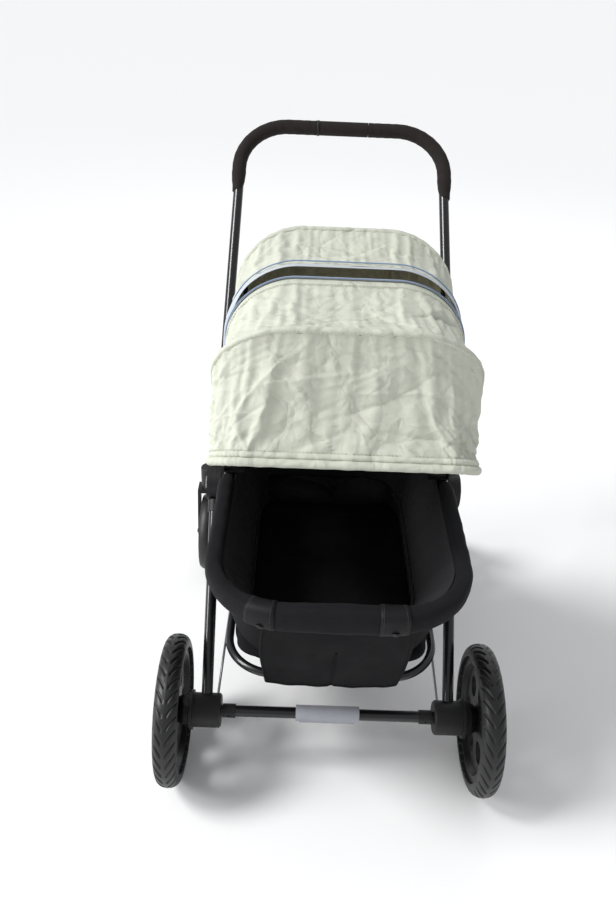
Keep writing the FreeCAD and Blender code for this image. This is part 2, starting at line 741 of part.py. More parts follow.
# ---- every node ----
def build_nodes():
    nodes = {
        "pivot_bolts": pivot_bolts(),
        "rear_axle_stubs": stub_axles(),
        "brake_bar": brake_bar(),
        "brake_sleeve": brake_sleeve(),
        "brake_collars": bar_collars(),
        "front_cross_tube": cross_tube(),
        "handle_tube": handle_tube(),
        "handle_middle_grip": handle_middle_grip(),
        "rim_frame": rim_frame(),
        "bumper": bumper(),
        "tub_shell": tub_shell(),
        "floor_board": floor_layer(BOARD_Z, 3.0),
        "floor_pad": floor_layer(PAD_Z, 5.0),
        "bolster": bolster(),
        "base_frame": base_frame(),
        "front_skirt": front_skirt(),
        "adapters": adapters(),
        "canopy_hinges": canopy_hinges(),
        "canopy_front_panel": canopy_panel(HOOPS["canopy_front_hoop"], HOOPS["canopy_second_hoop"]),
        "canopy_middle_panel": canopy_panel(HOOPS["canopy_second_hoop"], HOOPS["canopy_third_hoop"]),
        "canopy_vent_panel": canopy_vent_panel(),
        "canopy_back": canopy_back(),
        "basket_rim": basket_rim(),
        "basket_bag": basket_bag(),
        "basket_stays": basket_stays(),
        "basket_straps": basket_straps(),
    }
    for name in HOOPS:
        nodes[name] = canopy_hoop(name)
    for side, s in SIDES.items():
        nodes["rear_leg_" + side] = rear_leg(s)
        nodes["rear_knuckle_" + side] = rear_knuckle(s)
        nodes["axle_housing_" + side] = axle_housing(s)
        nodes["brake_pin_" + side] = brake_pin(s)
        nodes["rear_rim_" + side] = rear_rim(s)
        nodes["rear_tyre_" + side] = tyre(s, REAR_AXLE, REAR_TYRE_R, REAR_RIM_R, REAR_TYRE_W)
        nodes["hub_cap_" + side] = hub_cap(s)
        nodes["front_leg_" + side] = front_leg(s)
        nodes["front_knuckle_" + side] = knuckle(s, "front", cross_point(s))
        nodes["caster_housing_" + side] = caster_housing(s)
        nodes["caster_fork_" + side] = caster_fork(s)
        nodes["front_rim_" + side] = front_rim(s)
        nodes["front_tyre_" + side] = tyre(s, CASTER_WHEEL, FRONT_TYRE_R, FRONT_RIM_R, FRONT_TYRE_W)
        nodes["handle_knuckle_" + side] = knuckle(s, "handle", grip_corner(s))
        nodes["handle_grip_" + side] = handle_grip(s)
    return nodes


def main():
    os.makedirs("parts", exist_ok=True)
    for name, shape in build_nodes().items():
        if not shape.isValid():
            print("not valid:", name)
        print(name, len(shape.Solids), "solid(s),", round(shape.Volume / 1000, 1), "cm3")
        shape.exportStep("parts/" + name + ".step")


main()
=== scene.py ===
"""Looks of the pet stroller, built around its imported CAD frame. Metres, +Z up, casters and handle at +Y."""
import json
import math

import bpy
import numpy as np
from mathutils import Matrix, Vector, noise


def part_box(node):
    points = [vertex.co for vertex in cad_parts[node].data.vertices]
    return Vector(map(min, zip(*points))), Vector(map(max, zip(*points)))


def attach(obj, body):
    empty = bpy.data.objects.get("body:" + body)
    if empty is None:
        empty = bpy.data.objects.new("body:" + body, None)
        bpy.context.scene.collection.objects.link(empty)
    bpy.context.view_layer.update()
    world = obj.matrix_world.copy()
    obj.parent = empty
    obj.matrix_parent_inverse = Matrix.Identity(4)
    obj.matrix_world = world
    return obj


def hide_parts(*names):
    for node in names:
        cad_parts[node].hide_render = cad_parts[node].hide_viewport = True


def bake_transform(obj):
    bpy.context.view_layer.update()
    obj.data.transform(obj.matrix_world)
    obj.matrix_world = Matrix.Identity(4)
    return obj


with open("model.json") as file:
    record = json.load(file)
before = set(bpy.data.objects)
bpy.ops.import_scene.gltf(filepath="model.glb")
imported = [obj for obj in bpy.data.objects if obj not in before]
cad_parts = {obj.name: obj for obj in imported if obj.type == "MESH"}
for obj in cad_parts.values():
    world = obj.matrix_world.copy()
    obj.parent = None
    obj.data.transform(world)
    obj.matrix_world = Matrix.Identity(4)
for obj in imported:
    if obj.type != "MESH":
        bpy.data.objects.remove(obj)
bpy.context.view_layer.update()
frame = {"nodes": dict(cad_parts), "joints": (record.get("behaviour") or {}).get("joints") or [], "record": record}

JOINTS = {joint["name"]: joint for joint in frame["joints"]}

# ---- places read from the frame ----
CANOPY_PIVOT = Vector(JOINTS["canopy_fold"]["pos_m"])
HOOP_R = 0.004
RIM_TUBE_R = 0.008
GRIP_R = 0.016
UP = Vector((0, 0, 1))
FORWARD = Vector((0, -1, 0))


def centre_of(node):
    low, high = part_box(node)
    return (low + high) / 2


RIM_LOW, RIM_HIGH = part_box("rim_frame")
RIM_HALF = RIM_HIGH.x - RIM_TUBE_R
RIM_FRONT = RIM_LOW.y + RIM_TUBE_R
RIM_REAR = RIM_HIGH.y - RIM_TUBE_R
RIM_Z = (RIM_LOW.z + RIM_HIGH.z) / 2
BASE_LOW, BASE_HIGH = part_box("base_frame")
BASE_HALF = BASE_HIGH.x - RIM_TUBE_R
BASE_FRONT = BASE_LOW.y + RIM_TUBE_R
BASE_REAR = BASE_HIGH.y - RIM_TUBE_R
TUB_LOW, TUB_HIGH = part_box("tub_shell")


# ---- materials ----
def new_material(name, colour, roughness, **sockets):
    """Material with a Principled shader, its plain values set on the shader's own sockets."""
    material = bpy.data.materials.new(name)
    material.use_nodes = True
    shader = material.node_tree.nodes["Principled BSDF"]
    shader.inputs["Base Color"].default_value = (*colour, 1)
    shader.inputs["Roughness"].default_value = roughness
    for socket, value in sockets.items():
        shader.inputs[socket.replace("_", " ")].default_value = value
    return material


class Nodes:
    """Short names for adding and linking a material's nodes."""

    def __init__(self, material):
        self.tree = material.node_tree
        self.shader = self.tree.nodes["Principled BSDF"]

    def add(self, kind, **settings):
        node = self.tree.nodes.new(kind)
        for key, value in settings.items():
            if hasattr(node, key):
                setattr(node, key, value)
            else:
                node.inputs[key.replace("_", " ")].default_value = value
        return node

    def link(self, source, target):
        self.tree.links.new(source, target)

    def coordinates(self, space="Object"):
        return self.add("ShaderNodeTexCoord").outputs[space]

    def noise(self, scale, detail=4.0):
        texture = self.add("ShaderNodeTexNoise", Scale=scale, Detail=detail, Roughness=0.55)
        self.link(self.coordinates(), texture.inputs["Vector"])
        return texture.outputs["Fac"]

    def wave(self, pitch, direction, space="Object"):
        texture = self.add("ShaderNodeTexWave", bands_direction=direction)
        texture.inputs["Scale"].default_value = 2 * math.pi / (pitch * 20)
        self.link(self.coordinates(space), texture.inputs["Vector"])
        return texture.outputs["Fac"]

    def maths(self, operation, first, second):
        node = self.add("ShaderNodeMath", operation=operation)
        for socket, value in zip(node.inputs, (first, second)):
            if isinstance(value, (int, float)):
                socket.default_value = value
            else:
                self.link(value, socket)
        return node.outputs[0]

    def remap(self, value, low, high):
        node = self.add("ShaderNodeMapRange")
        node.inputs["To Min"].default_value = low
        node.inputs["To Max"].default_value = high
        self.link(value, node.inputs["Value"])
        return node.outputs["Result"]

    def tint(self, factor, dark, light):
        """Base colour that drifts between two colours."""
        node = self.add("ShaderNodeMix", data_type="RGBA")
        for socket in node.inputs:
            if socket.type == "RGBA":
                socket.default_value = (*(dark if socket.identifier.startswith("A") else light), 1)
        self.link(factor, node.inputs["Factor"])
        colour = [out for out in node.outputs if out.type == "RGBA"][0]
        self.link(colour, self.shader.inputs["Base Color"])

    def bump(self, height, strength, distance, below=None):
        node = self.add("ShaderNodeBump")
        node.inputs["Strength"].default_value = strength
        node.inputs["Distance"].default_value = distance
        self.link(height, node.inputs["Height"])
        if below:
            self.link(below, node.inputs["Normal"])
        self.link(node.outputs["Normal"], self.shader.inputs["Normal"])
        return node.outputs["Normal"]

    def roughness(self, value, low, high):
        self.link(self.remap(value, low, high), self.shader.inputs["Roughness"])


def gloss_paint():
    """Black powder-coated tube: slight orange peel under a clear gloss."""
    material = new_material("gloss_paint", (0.006, 0.006, 0.007), 0.26, Specular_IOR_Level=0.4, Coat_Weight=0.3,
                            Coat_Roughness=0.12)
    nodes = Nodes(material)
    nodes.roughness(nodes.noise(14.0), 0.2, 0.36)
    nodes.tint(nodes.noise(6.0), (0.004, 0.004, 0.005), (0.008, 0.008, 0.009))
    nodes.bump(nodes.noise(700.0, 2.0), 0.10, 0.0003)
    return material


def moulded_plastic(name="moulded_plastic", colour=(0.009, 0.009, 0.010), rough=(0.38, 0.56), grain=1500.0):
    """Moulded plastic with a fine spark-eroded grain."""
    material = new_material(name, colour, 0.45, Specular_IOR_Level=0.35)
    nodes = Nodes(material)
    nodes.roughness(nodes.noise(25.0), *rough)
    lighter = tuple(channel * 1.25 for channel in colour)
    darker = tuple(channel * 0.85 for channel in colour)
    nodes.tint(nodes.noise(9.0), darker, lighter)
    nodes.bump(nodes.noise(grain, 2.0), 0.35, 0.0004)
    return material


def tyre_rubber():
    """Matt black foam rubber with dust in its hollows."""
    material = new_material("tyre_rubber", (0.008, 0.008, 0.009), 0.5, Specular_IOR_Level=0.5)
    nodes = Nodes(material)
    nodes.roughness(nodes.noise(30.0), 0.34, 0.55)
    nodes.tint(nodes.noise(18.0, 6.0), (0.005, 0.005, 0.005), (0.013, 0.013, 0.014))
    fine = nodes.bump(nodes.noise(900.0, 3.0), 0.3, 0.0004)
    nodes.bump(nodes.noise(90.0, 3.0), 0.15, 0.001, below=fine)
    return material


def grip_foam():
    """Closed-cell foam sleeve, dark brown-grey with open pores."""
    material = new_material("grip_foam", (0.018, 0.014, 0.013), 0.9, Specular_IOR_Level=0.25)
    nodes = Nodes(material)
    pores = nodes.add("ShaderNodeTexVoronoi", Scale=900.0)
    nodes.link(nodes.coordinates(), pores.inputs["Vector"])
    nodes.tint(nodes.noise(40.0, 5.0), (0.011, 0.009, 0.008), (0.024, 0.019, 0.018))
    below = nodes.bump(pores.outputs["Distance"], 0.5, 0.0006)
    nodes.bump(nodes.noise(160.0), 0.3, 0.0008, below=below)
    return material


def woven_cloth(name, dark, light, pitch, rough=0.85, sheen=0.15, space="Object", strength=0.4, slub=1.0):
    """Plain weave: two crossed ribs with slubs, a slow drift of colour, and painted shade that darkens the hollows
    between the ribs.
    """
    material = new_material(name, light, rough, Sheen_Weight=sheen, Sheen_Roughness=0.5, Specular_IOR_Level=0.12)
    nodes = Nodes(material)
    across = nodes.wave(pitch, "X", space)
    along = nodes.wave(pitch, "Y" if space == "UV" else "Z", space)
    rib = nodes.maths("MAXIMUM", across, along)
    if space == "Object":
        rib = nodes.maths("MAXIMUM", rib, nodes.wave(pitch, "Y", space))
    slubs = nodes.noise(420.0, 3.0)
    height = nodes.maths("ADD", rib, nodes.maths("MULTIPLY", slubs, slub))
    # Colour mixes a slow random drift with painted shade: the weave's hollows are darker and its rib crowns lighter.
    tone_and_weave_shade = nodes.maths("ADD", nodes.maths("MULTIPLY", nodes.noise(7.0, 5.0), 0.6),
                        nodes.maths("MULTIPLY", rib, 0.4))
    nodes.tint(tone_and_weave_shade, dark, light)
    nodes.roughness(nodes.noise(60.0), rough - 0.08, min(1.0, rough + 0.08))
    nodes.bump(height, strength, pitch * 0.35)
    return material


def crumpled(material):
    """Adds the small creases of coated cloth that has been folded away."""
    nodes = Nodes(material)
    woven = nodes.shader.inputs["Normal"].links[0].from_node
    warp = nodes.add("ShaderNodeTexNoise", Scale=9.0, Detail=3.0)
    mixed = nodes.add("ShaderNodeVectorMath", operation="MULTIPLY_ADD")
    nodes.link(nodes.coordinates(), warp.inputs["Vector"])
    nodes.link(warp.outputs["Color"], mixed.inputs[0])
    mixed.inputs[1].default_value = (0.09, 0.09, 0.09)
    nodes.link(nodes.coordinates(), mixed.inputs[2])
    below = woven.outputs["Normal"]
    for scale, strength, distance in ((11.0, 0.8, 0.012), (30.0, 0.7, 0.005)):
        cells = nodes.add("ShaderNodeTexVoronoi", Scale=scale, feature="DISTANCE_TO_EDGE")
        nodes.link(mixed.outputs[0], cells.inputs["Vector"])
        below = nodes.bump(cells.outputs["Distance"], strength, distance, below=below)
    return material


def grained_leather(name="grained_leather", colour=(0.006, 0.006, 0.007), cell=420.0, strength=0.5):
    """Leather grain: small cells with creases between them."""
    material = new_material(name, colour, 0.55, Specular_IOR_Level=0.22)
    nodes = Nodes(material)
    cells = nodes.add("ShaderNodeTexVoronoi", Scale=cell, feature="DISTANCE_TO_EDGE")
    nodes.link(nodes.coordinates(), cells.inputs["Vector"])
    nodes.roughness(nodes.noise(35.0), 0.48, 0.68)
    nodes.tint(nodes.noise(20.0), tuple(c * 0.8 for c in colour), tuple(c * 1.4 for c in colour))
    below = nodes.bump(cells.outputs["Distance"], strength, 0.0006)
    nodes.bump(nodes.noise(70.0), 0.25, 0.002, below=below)
    return material


def plated_steel():
    """Bright zinc plate with fine turning marks."""
    material = new_material("plated_steel", (0.42, 0.42, 0.43), 0.3, Metallic=1.0)
    nodes = Nodes(material)
    nodes.roughness(nodes.noise(50.0), 0.22, 0.42)
    nodes.bump(nodes.wave(0.0006, "X"), 0.15, 0.0002)
    return material


def matt_sleeve():
    """Light grey moulded foot sleeve with fine ribs along it."""
    material = new_material("matt_sleeve", (0.36, 0.37, 0.41), 0.6)
    nodes = Nodes(material)
    nodes.tint(nodes.noise(30.0, 5.0), (0.30, 0.31, 0.35), (0.40, 0.41, 0.45))
    below = nodes.bump(nodes.noise(1100.0, 2.0), 0.3, 0.0004)
    nodes.bump(nodes.noise(45.0), 0.2, 0.001, below=below)
    return material


PAINT = gloss_paint()
PLASTIC = moulded_plastic()
RIM_PLASTIC = moulded_plastic("rim_plastic", (0.008, 0.008, 0.009), (0.28, 0.42), 900.0)
TYRE = tyre_rubber()
FOAM = grip_foam()
STEEL = plated_steel()
SLEEVE = matt_sleeve()
LEATHER = grained_leather()
CANOPY = crumpled(woven_cloth("canopy_cloth", (0.50, 0.52, 0.435), (0.60, 0.615, 0.53), 0.0011, 0.72, 0.05, "UV", 0.25,
                              0.5))
LINING = woven_cloth("canopy_lining", (0.44, 0.42, 0.28), (0.56, 0.54, 0.38), 0.0012, 0.85, 0.0, "UV", 0.3)
BLACK_CLOTH = woven_cloth("black_cloth", (0.004, 0.004, 0.005), (0.010, 0.010, 0.011), 0.0016, 0.88, 0.01)
BLACK_TWILL = woven_cloth("black_twill", (0.005, 0.005, 0.006), (0.013, 0.013, 0.015), 0.0022, 0.8, 0.015)
CUSHION_CLOTH = woven_cloth("cushion_cloth", (0.012, 0.012, 0.013), (0.030, 0.030, 0.033), 0.0024, 0.75, 0.04)
WEBBING = woven_cloth("webbing", (0.006, 0.006, 0.006), (0.016, 0.016, 0.017), 0.0026, 0.7, 0.0, "Object", 0.8)
ZIP_TAPE = woven_cloth("zip_tape", (0.42, 0.46, 0.50), (0.54, 0.58, 0.62), 0.0014, 0.7, 0.02)
ZIP_BLUE = woven_cloth("zip_blue", (0.17, 0.24, 0.38), (0.25, 0.33, 0.50), 0.0014, 0.6, 0.02)
THREAD = moulded_plastic("thread", (0.03, 0.03, 0.032), (0.6, 0.8), 2500.0)
PALE_THREAD = moulded_plastic("pale_thread", (0.42, 0.43, 0.36), (0.6, 0.8), 2500.0)


# ---- mesh helpers ----
def linked(name, data):
    """New object in the scene."""
    obj = bpy.data.objects.new(name, data)
    bpy.context.scene.collection.objects.link(obj)
    return obj


def piece(name, verts, faces, material, body=None, uvs=None, smooth=True):
    """Mesh object with one material and, if named, its body."""
    mesh = bpy.data.meshes.new(name)
    mesh.from_pydata([tuple(v) for v in verts], [], faces)
    mesh.materials.append(material)
    if uvs is not None:
        layer = mesh.uv_layers.new(name="flat")
        for loop in mesh.loops:
            layer.data[loop.index].uv = uvs[loop.vertex_index]
    mesh.polygons.foreach_set("use_smooth", [smooth] * len(mesh.polygons))
    mesh.update()
    obj = linked(name, mesh)
    if body:
        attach(obj, body)
    return obj


def grid_faces(rows, columns, wrap_rows=False, wrap_columns=False):
    """Quads of a rows x columns grid of vertices."""
    faces = []
    for i in range(rows if wrap_rows else rows - 1):
        for j in range(columns if wrap_columns else columns - 1):
            k, m = (i + 1) % rows, (j + 1) % columns
            faces.append((i * columns + j, i * columns + m, k * columns + m, k * columns + j))
    return faces


def rounded_path(points, radii, step=0.006):
    """Points along straight runs joined by tangent arcs."""
    path = [Vector(points[0])]
    for before, corner, after, radius in zip(points, points[1:], points[2:], radii):
        corner = Vector(corner)
        back = (Vector(before) - corner).normalized()
        ahead = (Vector(after) - corner).normalized()
        half = back.angle(ahead) / 2
        enter = corner + back * (radius / math.tan(half))
        centre = corner + (back + ahead).normalized() * (radius / math.sin(half))
        axis = (enter - centre).cross(-back).normalized()
        sweep = math.pi - 2 * half
        count = max(6, int(sweep * radius / step))
        for index in range(count + 1):
            path.append(centre + Matrix.Rotation(sweep * index / count, 3, axis) @ (enter - centre))
    path.append(Vector(points[-1]))
    return respaced(path, step)


def respaced(path, step):
    """The same line with points an even step apart."""
    lengths = [0.0]
    for a, b in zip(path, path[1:]):
        lengths.append(lengths[-1] + (b - a).length)
    count = max(2, round(lengths[-1] / step))
    found = []
    index = 0
    for number in range(count + 1):
        want = lengths[-1] * number / count
        while index < len(path) - 2 and lengths[index + 1] < want:
            index += 1
        span = lengths[index + 1] - lengths[index]
        share = 0 if span == 0 else (want - lengths[index]) / span
        found.append(path[index].lerp(path[index + 1], share))
    return found


def frames_along(path, up, closed=False):
    """(point, side, lift) at each point: side and lift are square to the path, lift nearest to up."""
    result = []
    count = len(path)
    for index, point in enumerate(path):
        before = path[(index - 1) % count] if closed else path[max(0, index - 1)]
        after = path[(index + 1) % count] if closed else path[min(count - 1, index + 1)]
        heading = (after - before).normalized()
        lift = (up - heading * up.dot(heading)).normalized()
        result.append((point, heading.cross(lift), lift))
    return result


def swept(name, path, section, material=BLACK_CLOTH, body="bassinet", up=UP, closed=False):
    """Solid swept along a path. section(share) gives (side, lift) offsets at that share of the path."""
    verts, uvs = [], []
    placed = frames_along(path, up, closed)
    length = 0.0
    for index, (point, side, lift) in enumerate(placed):
        if index:
            length += (point - placed[index - 1][0]).length
        ring = section(index / (len(placed) - 1))
        for number, (across, high) in enumerate(ring):
            verts.append(point + side * across + lift * high)
            uvs.append((length, number * 0.004))
    rows, columns = len(placed), len(ring)
    faces = grid_faces(rows, columns, closed, True)
    if not closed:
        faces.append(tuple(reversed(range(columns))))
        faces.append(tuple((rows - 1) * columns + j for j in range(columns)))
    return piece(name, verts, faces, material, body, uvs)


def circle(radius, count, height=None):
    """(side, lift) offsets round a circle, or round an ellipse if its half height is given."""
    turns = [2 * math.pi * index / count for index in range(count)]
    return [(radius * math.cos(turn), (height or radius) * math.sin(turn)) for turn in turns]


def round_section(radius, count):
    ring = circle(radius, count)
    return lambda share: ring


def thicken(obj, thickness, inner_material=None, offset=-1.0):
    """Gives a sheet its thickness; faces on the new side take the second material."""
    modifier = obj.modifiers.new("thickness", "SOLIDIFY")
    modifier.thickness = thickness
    modifier.offset = offset
    if inner_material:
        obj.data.materials.append(inner_material)
        modifier.material_offset = 1
    return obj


def ease(share):
    share = min(1.0, max(0.0, share))
    return share * share * (3 - 2 * share)


def wander(point, scale, seed):
    """Smooth noise between about -1 and 1."""
    return noise.noise(Vector(point) * scale + Vector((seed, seed * 0.7, -seed)))


# ---- canopy ----
HOOP_NAMES = ["canopy_front_hoop", "canopy_second_hoop", "canopy_third_hoop", "canopy_rear_hoop"]
# corner radius, the cloth's reach past the rod, and its bulge at the sides
HOOP_SHAPES = {
    "canopy_front_hoop": (0.048, 0.0062, 0.002), "canopy_second_hoop": (0.120, 0.0075, 0.011),
    "canopy_third_hoop": (0.110, 0.0068, 0.009), "canopy_rear_hoop": (0.110, 0.0062, 0.011),
}
CLOTH_ROOT = 0.045                                # where the cloth starts, out from the pivot
CLOTH_WIDTH = 1.15                                # round a hoop, from root to root
CANOPY_INSIDE = Vector((0, CANOPY_PIVOT.y, CANOPY_PIVOT.z + 0.08))
ARM_SHARE, ARC_SHARE = 0.27, 0.15


class Hoop:
    """A hoop's plane and outline, read from its CAD node."""

    def __init__(self, node):
        low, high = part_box(node)
        crown_z = high.z - HOOP_R
        if low.y < CANOPY_PIVOT.y - 0.02:
            crown_y = low.y + HOOP_R
        elif high.y > CANOPY_PIVOT.y + 0.02:
            crown_y = high.y - HOOP_R
        else:
            crown_y = CANOPY_PIVOT.y
        self.angle = math.atan2(crown_z - CANOPY_PIVOT.z, crown_y - CANOPY_PIVOT.y)
        self.reach = math.hypot(crown_z - CANOPY_PIVOT.z, crown_y - CANOPY_PIVOT.y)
        self.half = high.x - HOOP_R
        self.corner, self.cloth, self.bulge = HOOP_SHAPES[node]

    def flat(self, share, grow, root=CLOTH_ROOT):
        """(x, distance from the pivot) at a share of the way from the left root to the right."""
        mirrored = share > 0.5
        s = 1 - share if mirrored else share
        half, top = self.half + grow, self.reach + grow
        corner = self.corner + grow
        if s < ARM_SHARE:
            x, r = -half, root + (top - corner - root) * s / ARM_SHARE
        elif s < ARM_SHARE + ARC_SHARE:
            turn = (s - ARM_SHARE) / ARC_SHARE * math.pi / 2
            x = -half + corner - corner * math.cos(turn)
            r = top - corner + corner * math.sin(turn)
        else:
            x = -half + corner + (half - corner) * (s - ARM_SHARE - ARC_SHARE) / (0.5 - ARM_SHARE - ARC_SHARE)
            r = top
        x -= self.bulge * math.sin(math.pi * min(1.0, s / (ARM_SHARE + ARC_SHARE)) ** 1.3) ** 1.5
        return (-x if mirrored else x), r

    def point(self, share, grow=None, lean=0.0, root=CLOTH_ROOT):
        x, r = self.flat(share, self.cloth if grow is None else grow, root)
        angle = self.angle + lean
        return Vector((x, CANOPY_PIVOT.y + r * math.cos(angle), CANOPY_PIVOT.z + r * math.sin(angle)))


HOOPS = {name: Hoop(name) for name in HOOP_NAMES}
FRONT, SECOND, THIRD, REAR = (HOOPS[name] for name in HOOP_NAMES)


class Hem:
    """The canopy's level hem along the back of the rim."""

    def __init__(self):
        self.half = REAR.half
        self.angle = -0.028
        self.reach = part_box("canopy_back")[1].y - CANOPY_PIVOT.y - 0.006
        self.corner = 0.105
        self.cloth, self.bulge = 0.0062, 0.004

    flat = Hoop.flat
    point = Hoop.point


HEM = Hem()


def grid_piece(name, grid, spans):
    """Sheet from an array of rows x columns points, faced outwards."""
    rows, columns, _ = grid.shape
    verts = grid.reshape(-1, 3)
    faces = grid_faces(rows, columns)
    i, j = rows // 2, columns // 2
    normal = np.cross(grid[i, j + 1] - grid[i, j], grid[i + 1, j] - grid[i, j])
    if normal @ np.array(outward(Vector(grid[i, j]))) < 0:
        faces = [tuple(reversed(face)) for face in faces]
    uvs = [(j / (columns - 1) * spans[0], i / (rows - 1) * spans[1]) for i in range(rows) for j in range(columns)]
    return piece(name, verts, faces, CANOPY, uvs=uvs)


def finer(grid):
    """The same surface with a point added between every two, along both directions."""
    for axis in (0, 1):
        grid = np.moveaxis(grid, axis, 0)
        padded = np.concatenate([2 * grid[:1] - grid[1:2], grid, 2 * grid[-1:] - grid[-2:-1]])
        between = (-padded[:-3] + 9 * padded[1:-2] + 9 * padded[2:-1] - padded[3:]) / 16
        joined = np.empty((2 * len(grid) - 1, *grid.shape[1:]))
        joined[0::2], joined[1::2] = grid, between
        grid = np.moveaxis(joined, 0, axis)
    return grid


def creased(grid, count, depth, seed, spans):
    """Adds sharp folds in random directions, fading at the sheet's edges."""
    rows, columns, _ = grid.shape
    random = np.random.default_rng(seed)
    u = np.linspace(0, spans[0], columns)[None, :]
    v = np.linspace(0, spans[1], rows)[:, None]
    lift = np.zeros((rows, columns))
    for number in range(count):
        u0, v0 = random.uniform(0.10, 0.90) * spans[0], random.uniform(0.0, 1.0) * spans[1]
        turn = random.choice([random.uniform(-0.3, 0.3), random.uniform(0.3, 0.9), random.uniform(-0.9, -0.3)])
        length, width = random.uniform(0.03, 0.15), random.uniform(0.0025, 0.005)
        across = random.uniform(0.012, 0.030)
        along = (u - u0) * math.cos(turn) + (v - v0) * math.sin(turn)
        off = -(u - u0) * math.sin(turn) + (v - v0) * math.cos(turn) + random.uniform(-2, 2) * along ** 2
        fade = np.clip(1 - (along / length) ** 2, 0, 1)
        size = random.choice([-1.0, 1.0]) * random.uniform(0.35, 1.0) * depth
        ridge = np.exp(-np.abs(off) / width)
        facet = np.where(off > 0, np.exp(-np.abs(off) / across), 0.0)
        lift += size * fade * (0.6 * ridge + (0.8 * facet if number % 2 else 0.0))
    edge = np.minimum(1, np.minimum(v, spans[1] - v) / 0.03) ** 1.5
    lift = 2 * depth * np.tanh(lift / (2 * depth)) * edge
    away = grid - np.array(CANOPY_INSIDE)
    away /= np.linalg.norm(away, axis=2, keepdims=True)
    return grid + away * lift[:, :, None]


def outward(point):
    """Unit vector away from the canopy's inside, near point."""
    return (point - CANOPY_INSIDE).normalized()


CLOTH_SETTINGS = {"quality": 6, "mass": 0.18, "tension_stiffness": 18, "compression_stiffness": 18,
                  "shear_stiffness": 6, "bending_stiffness": 0.9, "air_damping": 2.0, "vertex_group_mass": "held"}
SETTLING_FRAMES = 26
FARTHEST_SHIFT = 0.016


def bake_cloth(obj, pinned, excess):
    """Lets the cloth buckle: it is cut a little too large, held where pinned, and settles."""
    rest = [v.co.copy() for v in obj.data.vertices]
    group = obj.vertex_groups.new(name="held")
    group.add(pinned, 1.0, "REPLACE")
    modifier = obj.modifiers.new("cloth", "CLOTH")
    for key, value in {**CLOTH_SETTINGS, "shrink_min": -excess, "shrink_max": -excess}.items():
        setattr(modifier.settings, key, value)
    modifier.collision_settings.use_collision = False
    modifier.point_cache.frame_start = 1
    modifier.point_cache.frame_end = SETTLING_FRAMES
    scene = bpy.context.scene
    for number in range(1, SETTLING_FRAMES + 1):
        scene.frame_set(number)
    graph = bpy.context.evaluated_depsgraph_get()
    moved = [v.co.copy() for v in obj.evaluated_get(graph).data.vertices]
    obj.modifiers.remove(modifier)
    obj.vertex_groups.remove(group)
    for vertex, start, end in zip(obj.data.vertices, rest, moved):
        shift = end - start
        if shift.length > FARTHEST_SHIFT:
            shift *= FARTHEST_SHIFT / shift.length
        vertex.co = start + shift
    obj.data.update()
    scene.frame_set(1)


def edge_pins(rows, columns):
    """Vertices along the two hooped edges and the roots of a sheet."""
    return [i * columns + j for i in range(rows) for j in range(columns)
            if i in (0, rows - 1) or j in (0, columns - 1)]


SHEET_COLUMNS, SHEET_ROWS = 150, 44
FOLD_DEPTH = 0.005


def canopy_sheet(name, first, second, dip, seed, excess, folds, crease=0.0016, start=lambda s: 0.0, end=1.0,
                 rows=SHEET_ROWS):
    """One panel of the canopy, cut a little too large: it dips between its hoops and creases."""
    grid = np.empty((rows, SHEET_COLUMNS, 3))
    for i in range(rows):
        for j in range(SHEET_COLUMNS):
            s = j / (SHEET_COLUMNS - 1)
            low = start(s)
            t = low + (end - low) * i / (rows - 1)
            point = first.point(s).lerp(second.point(s), t)
            away = outward(point)
            middle = 4 * t * (1 - t)
            crown = ease((min(s, 1 - s) - 0.1) / 0.3)
            point = point - away * dip * middle * (0.4 + 0.6 * crown)
            slant = noise.noise(Vector((s * 9 + t * 3, t * 7 - s * 4, seed)))
            fine = noise.noise(Vector((s * 26 - t * 9, t * 15 + s * 8, seed + 5)))
            grid[i, j] = point + away * (slant * crease * 2.2 + fine * crease) * min(1.0, middle * 2)
    spans = (CLOTH_WIDTH, float(np.linalg.norm(grid[0, SHEET_COLUMNS // 2] - grid[-1, SHEET_COLUMNS // 2])))
    if excess:
        rough = grid_piece("loose_cloth", grid, spans)
        bake_cloth(rough, edge_pins(rows, SHEET_COLUMNS), excess)
        grid = np.array([v.co for v in rough.data.vertices]).reshape(rows, SHEET_COLUMNS, 3)
        bpy.data.objects.remove(rough)
    grid = finer(grid)
    if folds:
        grid = creased(grid, folds, FOLD_DEPTH, seed, spans)
    sheet = grid_piece(name, grid, spans)
    thicken(sheet, 0.0012, LINING)
    return sheet


def hoop_bead(name, hoop, body, radius=0.0055, sink=0.0035, lean=0.0, first=0.02):
    """Stitched sleeve of cloth round a hoop."""
    path = [hoop.point(first + (1 - 2 * first) * i / 220, hoop.cloth - sink, lean) for i in range(221)]

    def section(share):
        root = first + (1 - 2 * first) * share
        swell = radius + 0.0005 * math.sin(share * 310) * math.sin(share * 47)
        swell *= 0.3 + 0.7 * ease((min(root, 1 - root) - first) / 0.2)
        return circle(swell, 14)

    up = Vector((0, math.cos(hoop.angle + math.pi / 2), math.sin(hoop.angle + math.pi / 2)))
    return swept(name, path, section, CANOPY, body, up)


def slot_gap(s):
    """Share of the vent panel that the open slot takes."""
    return 0.20 * ease((s - 0.20) / 0.14) * ease((1 - s - 0.12) / 0.12)


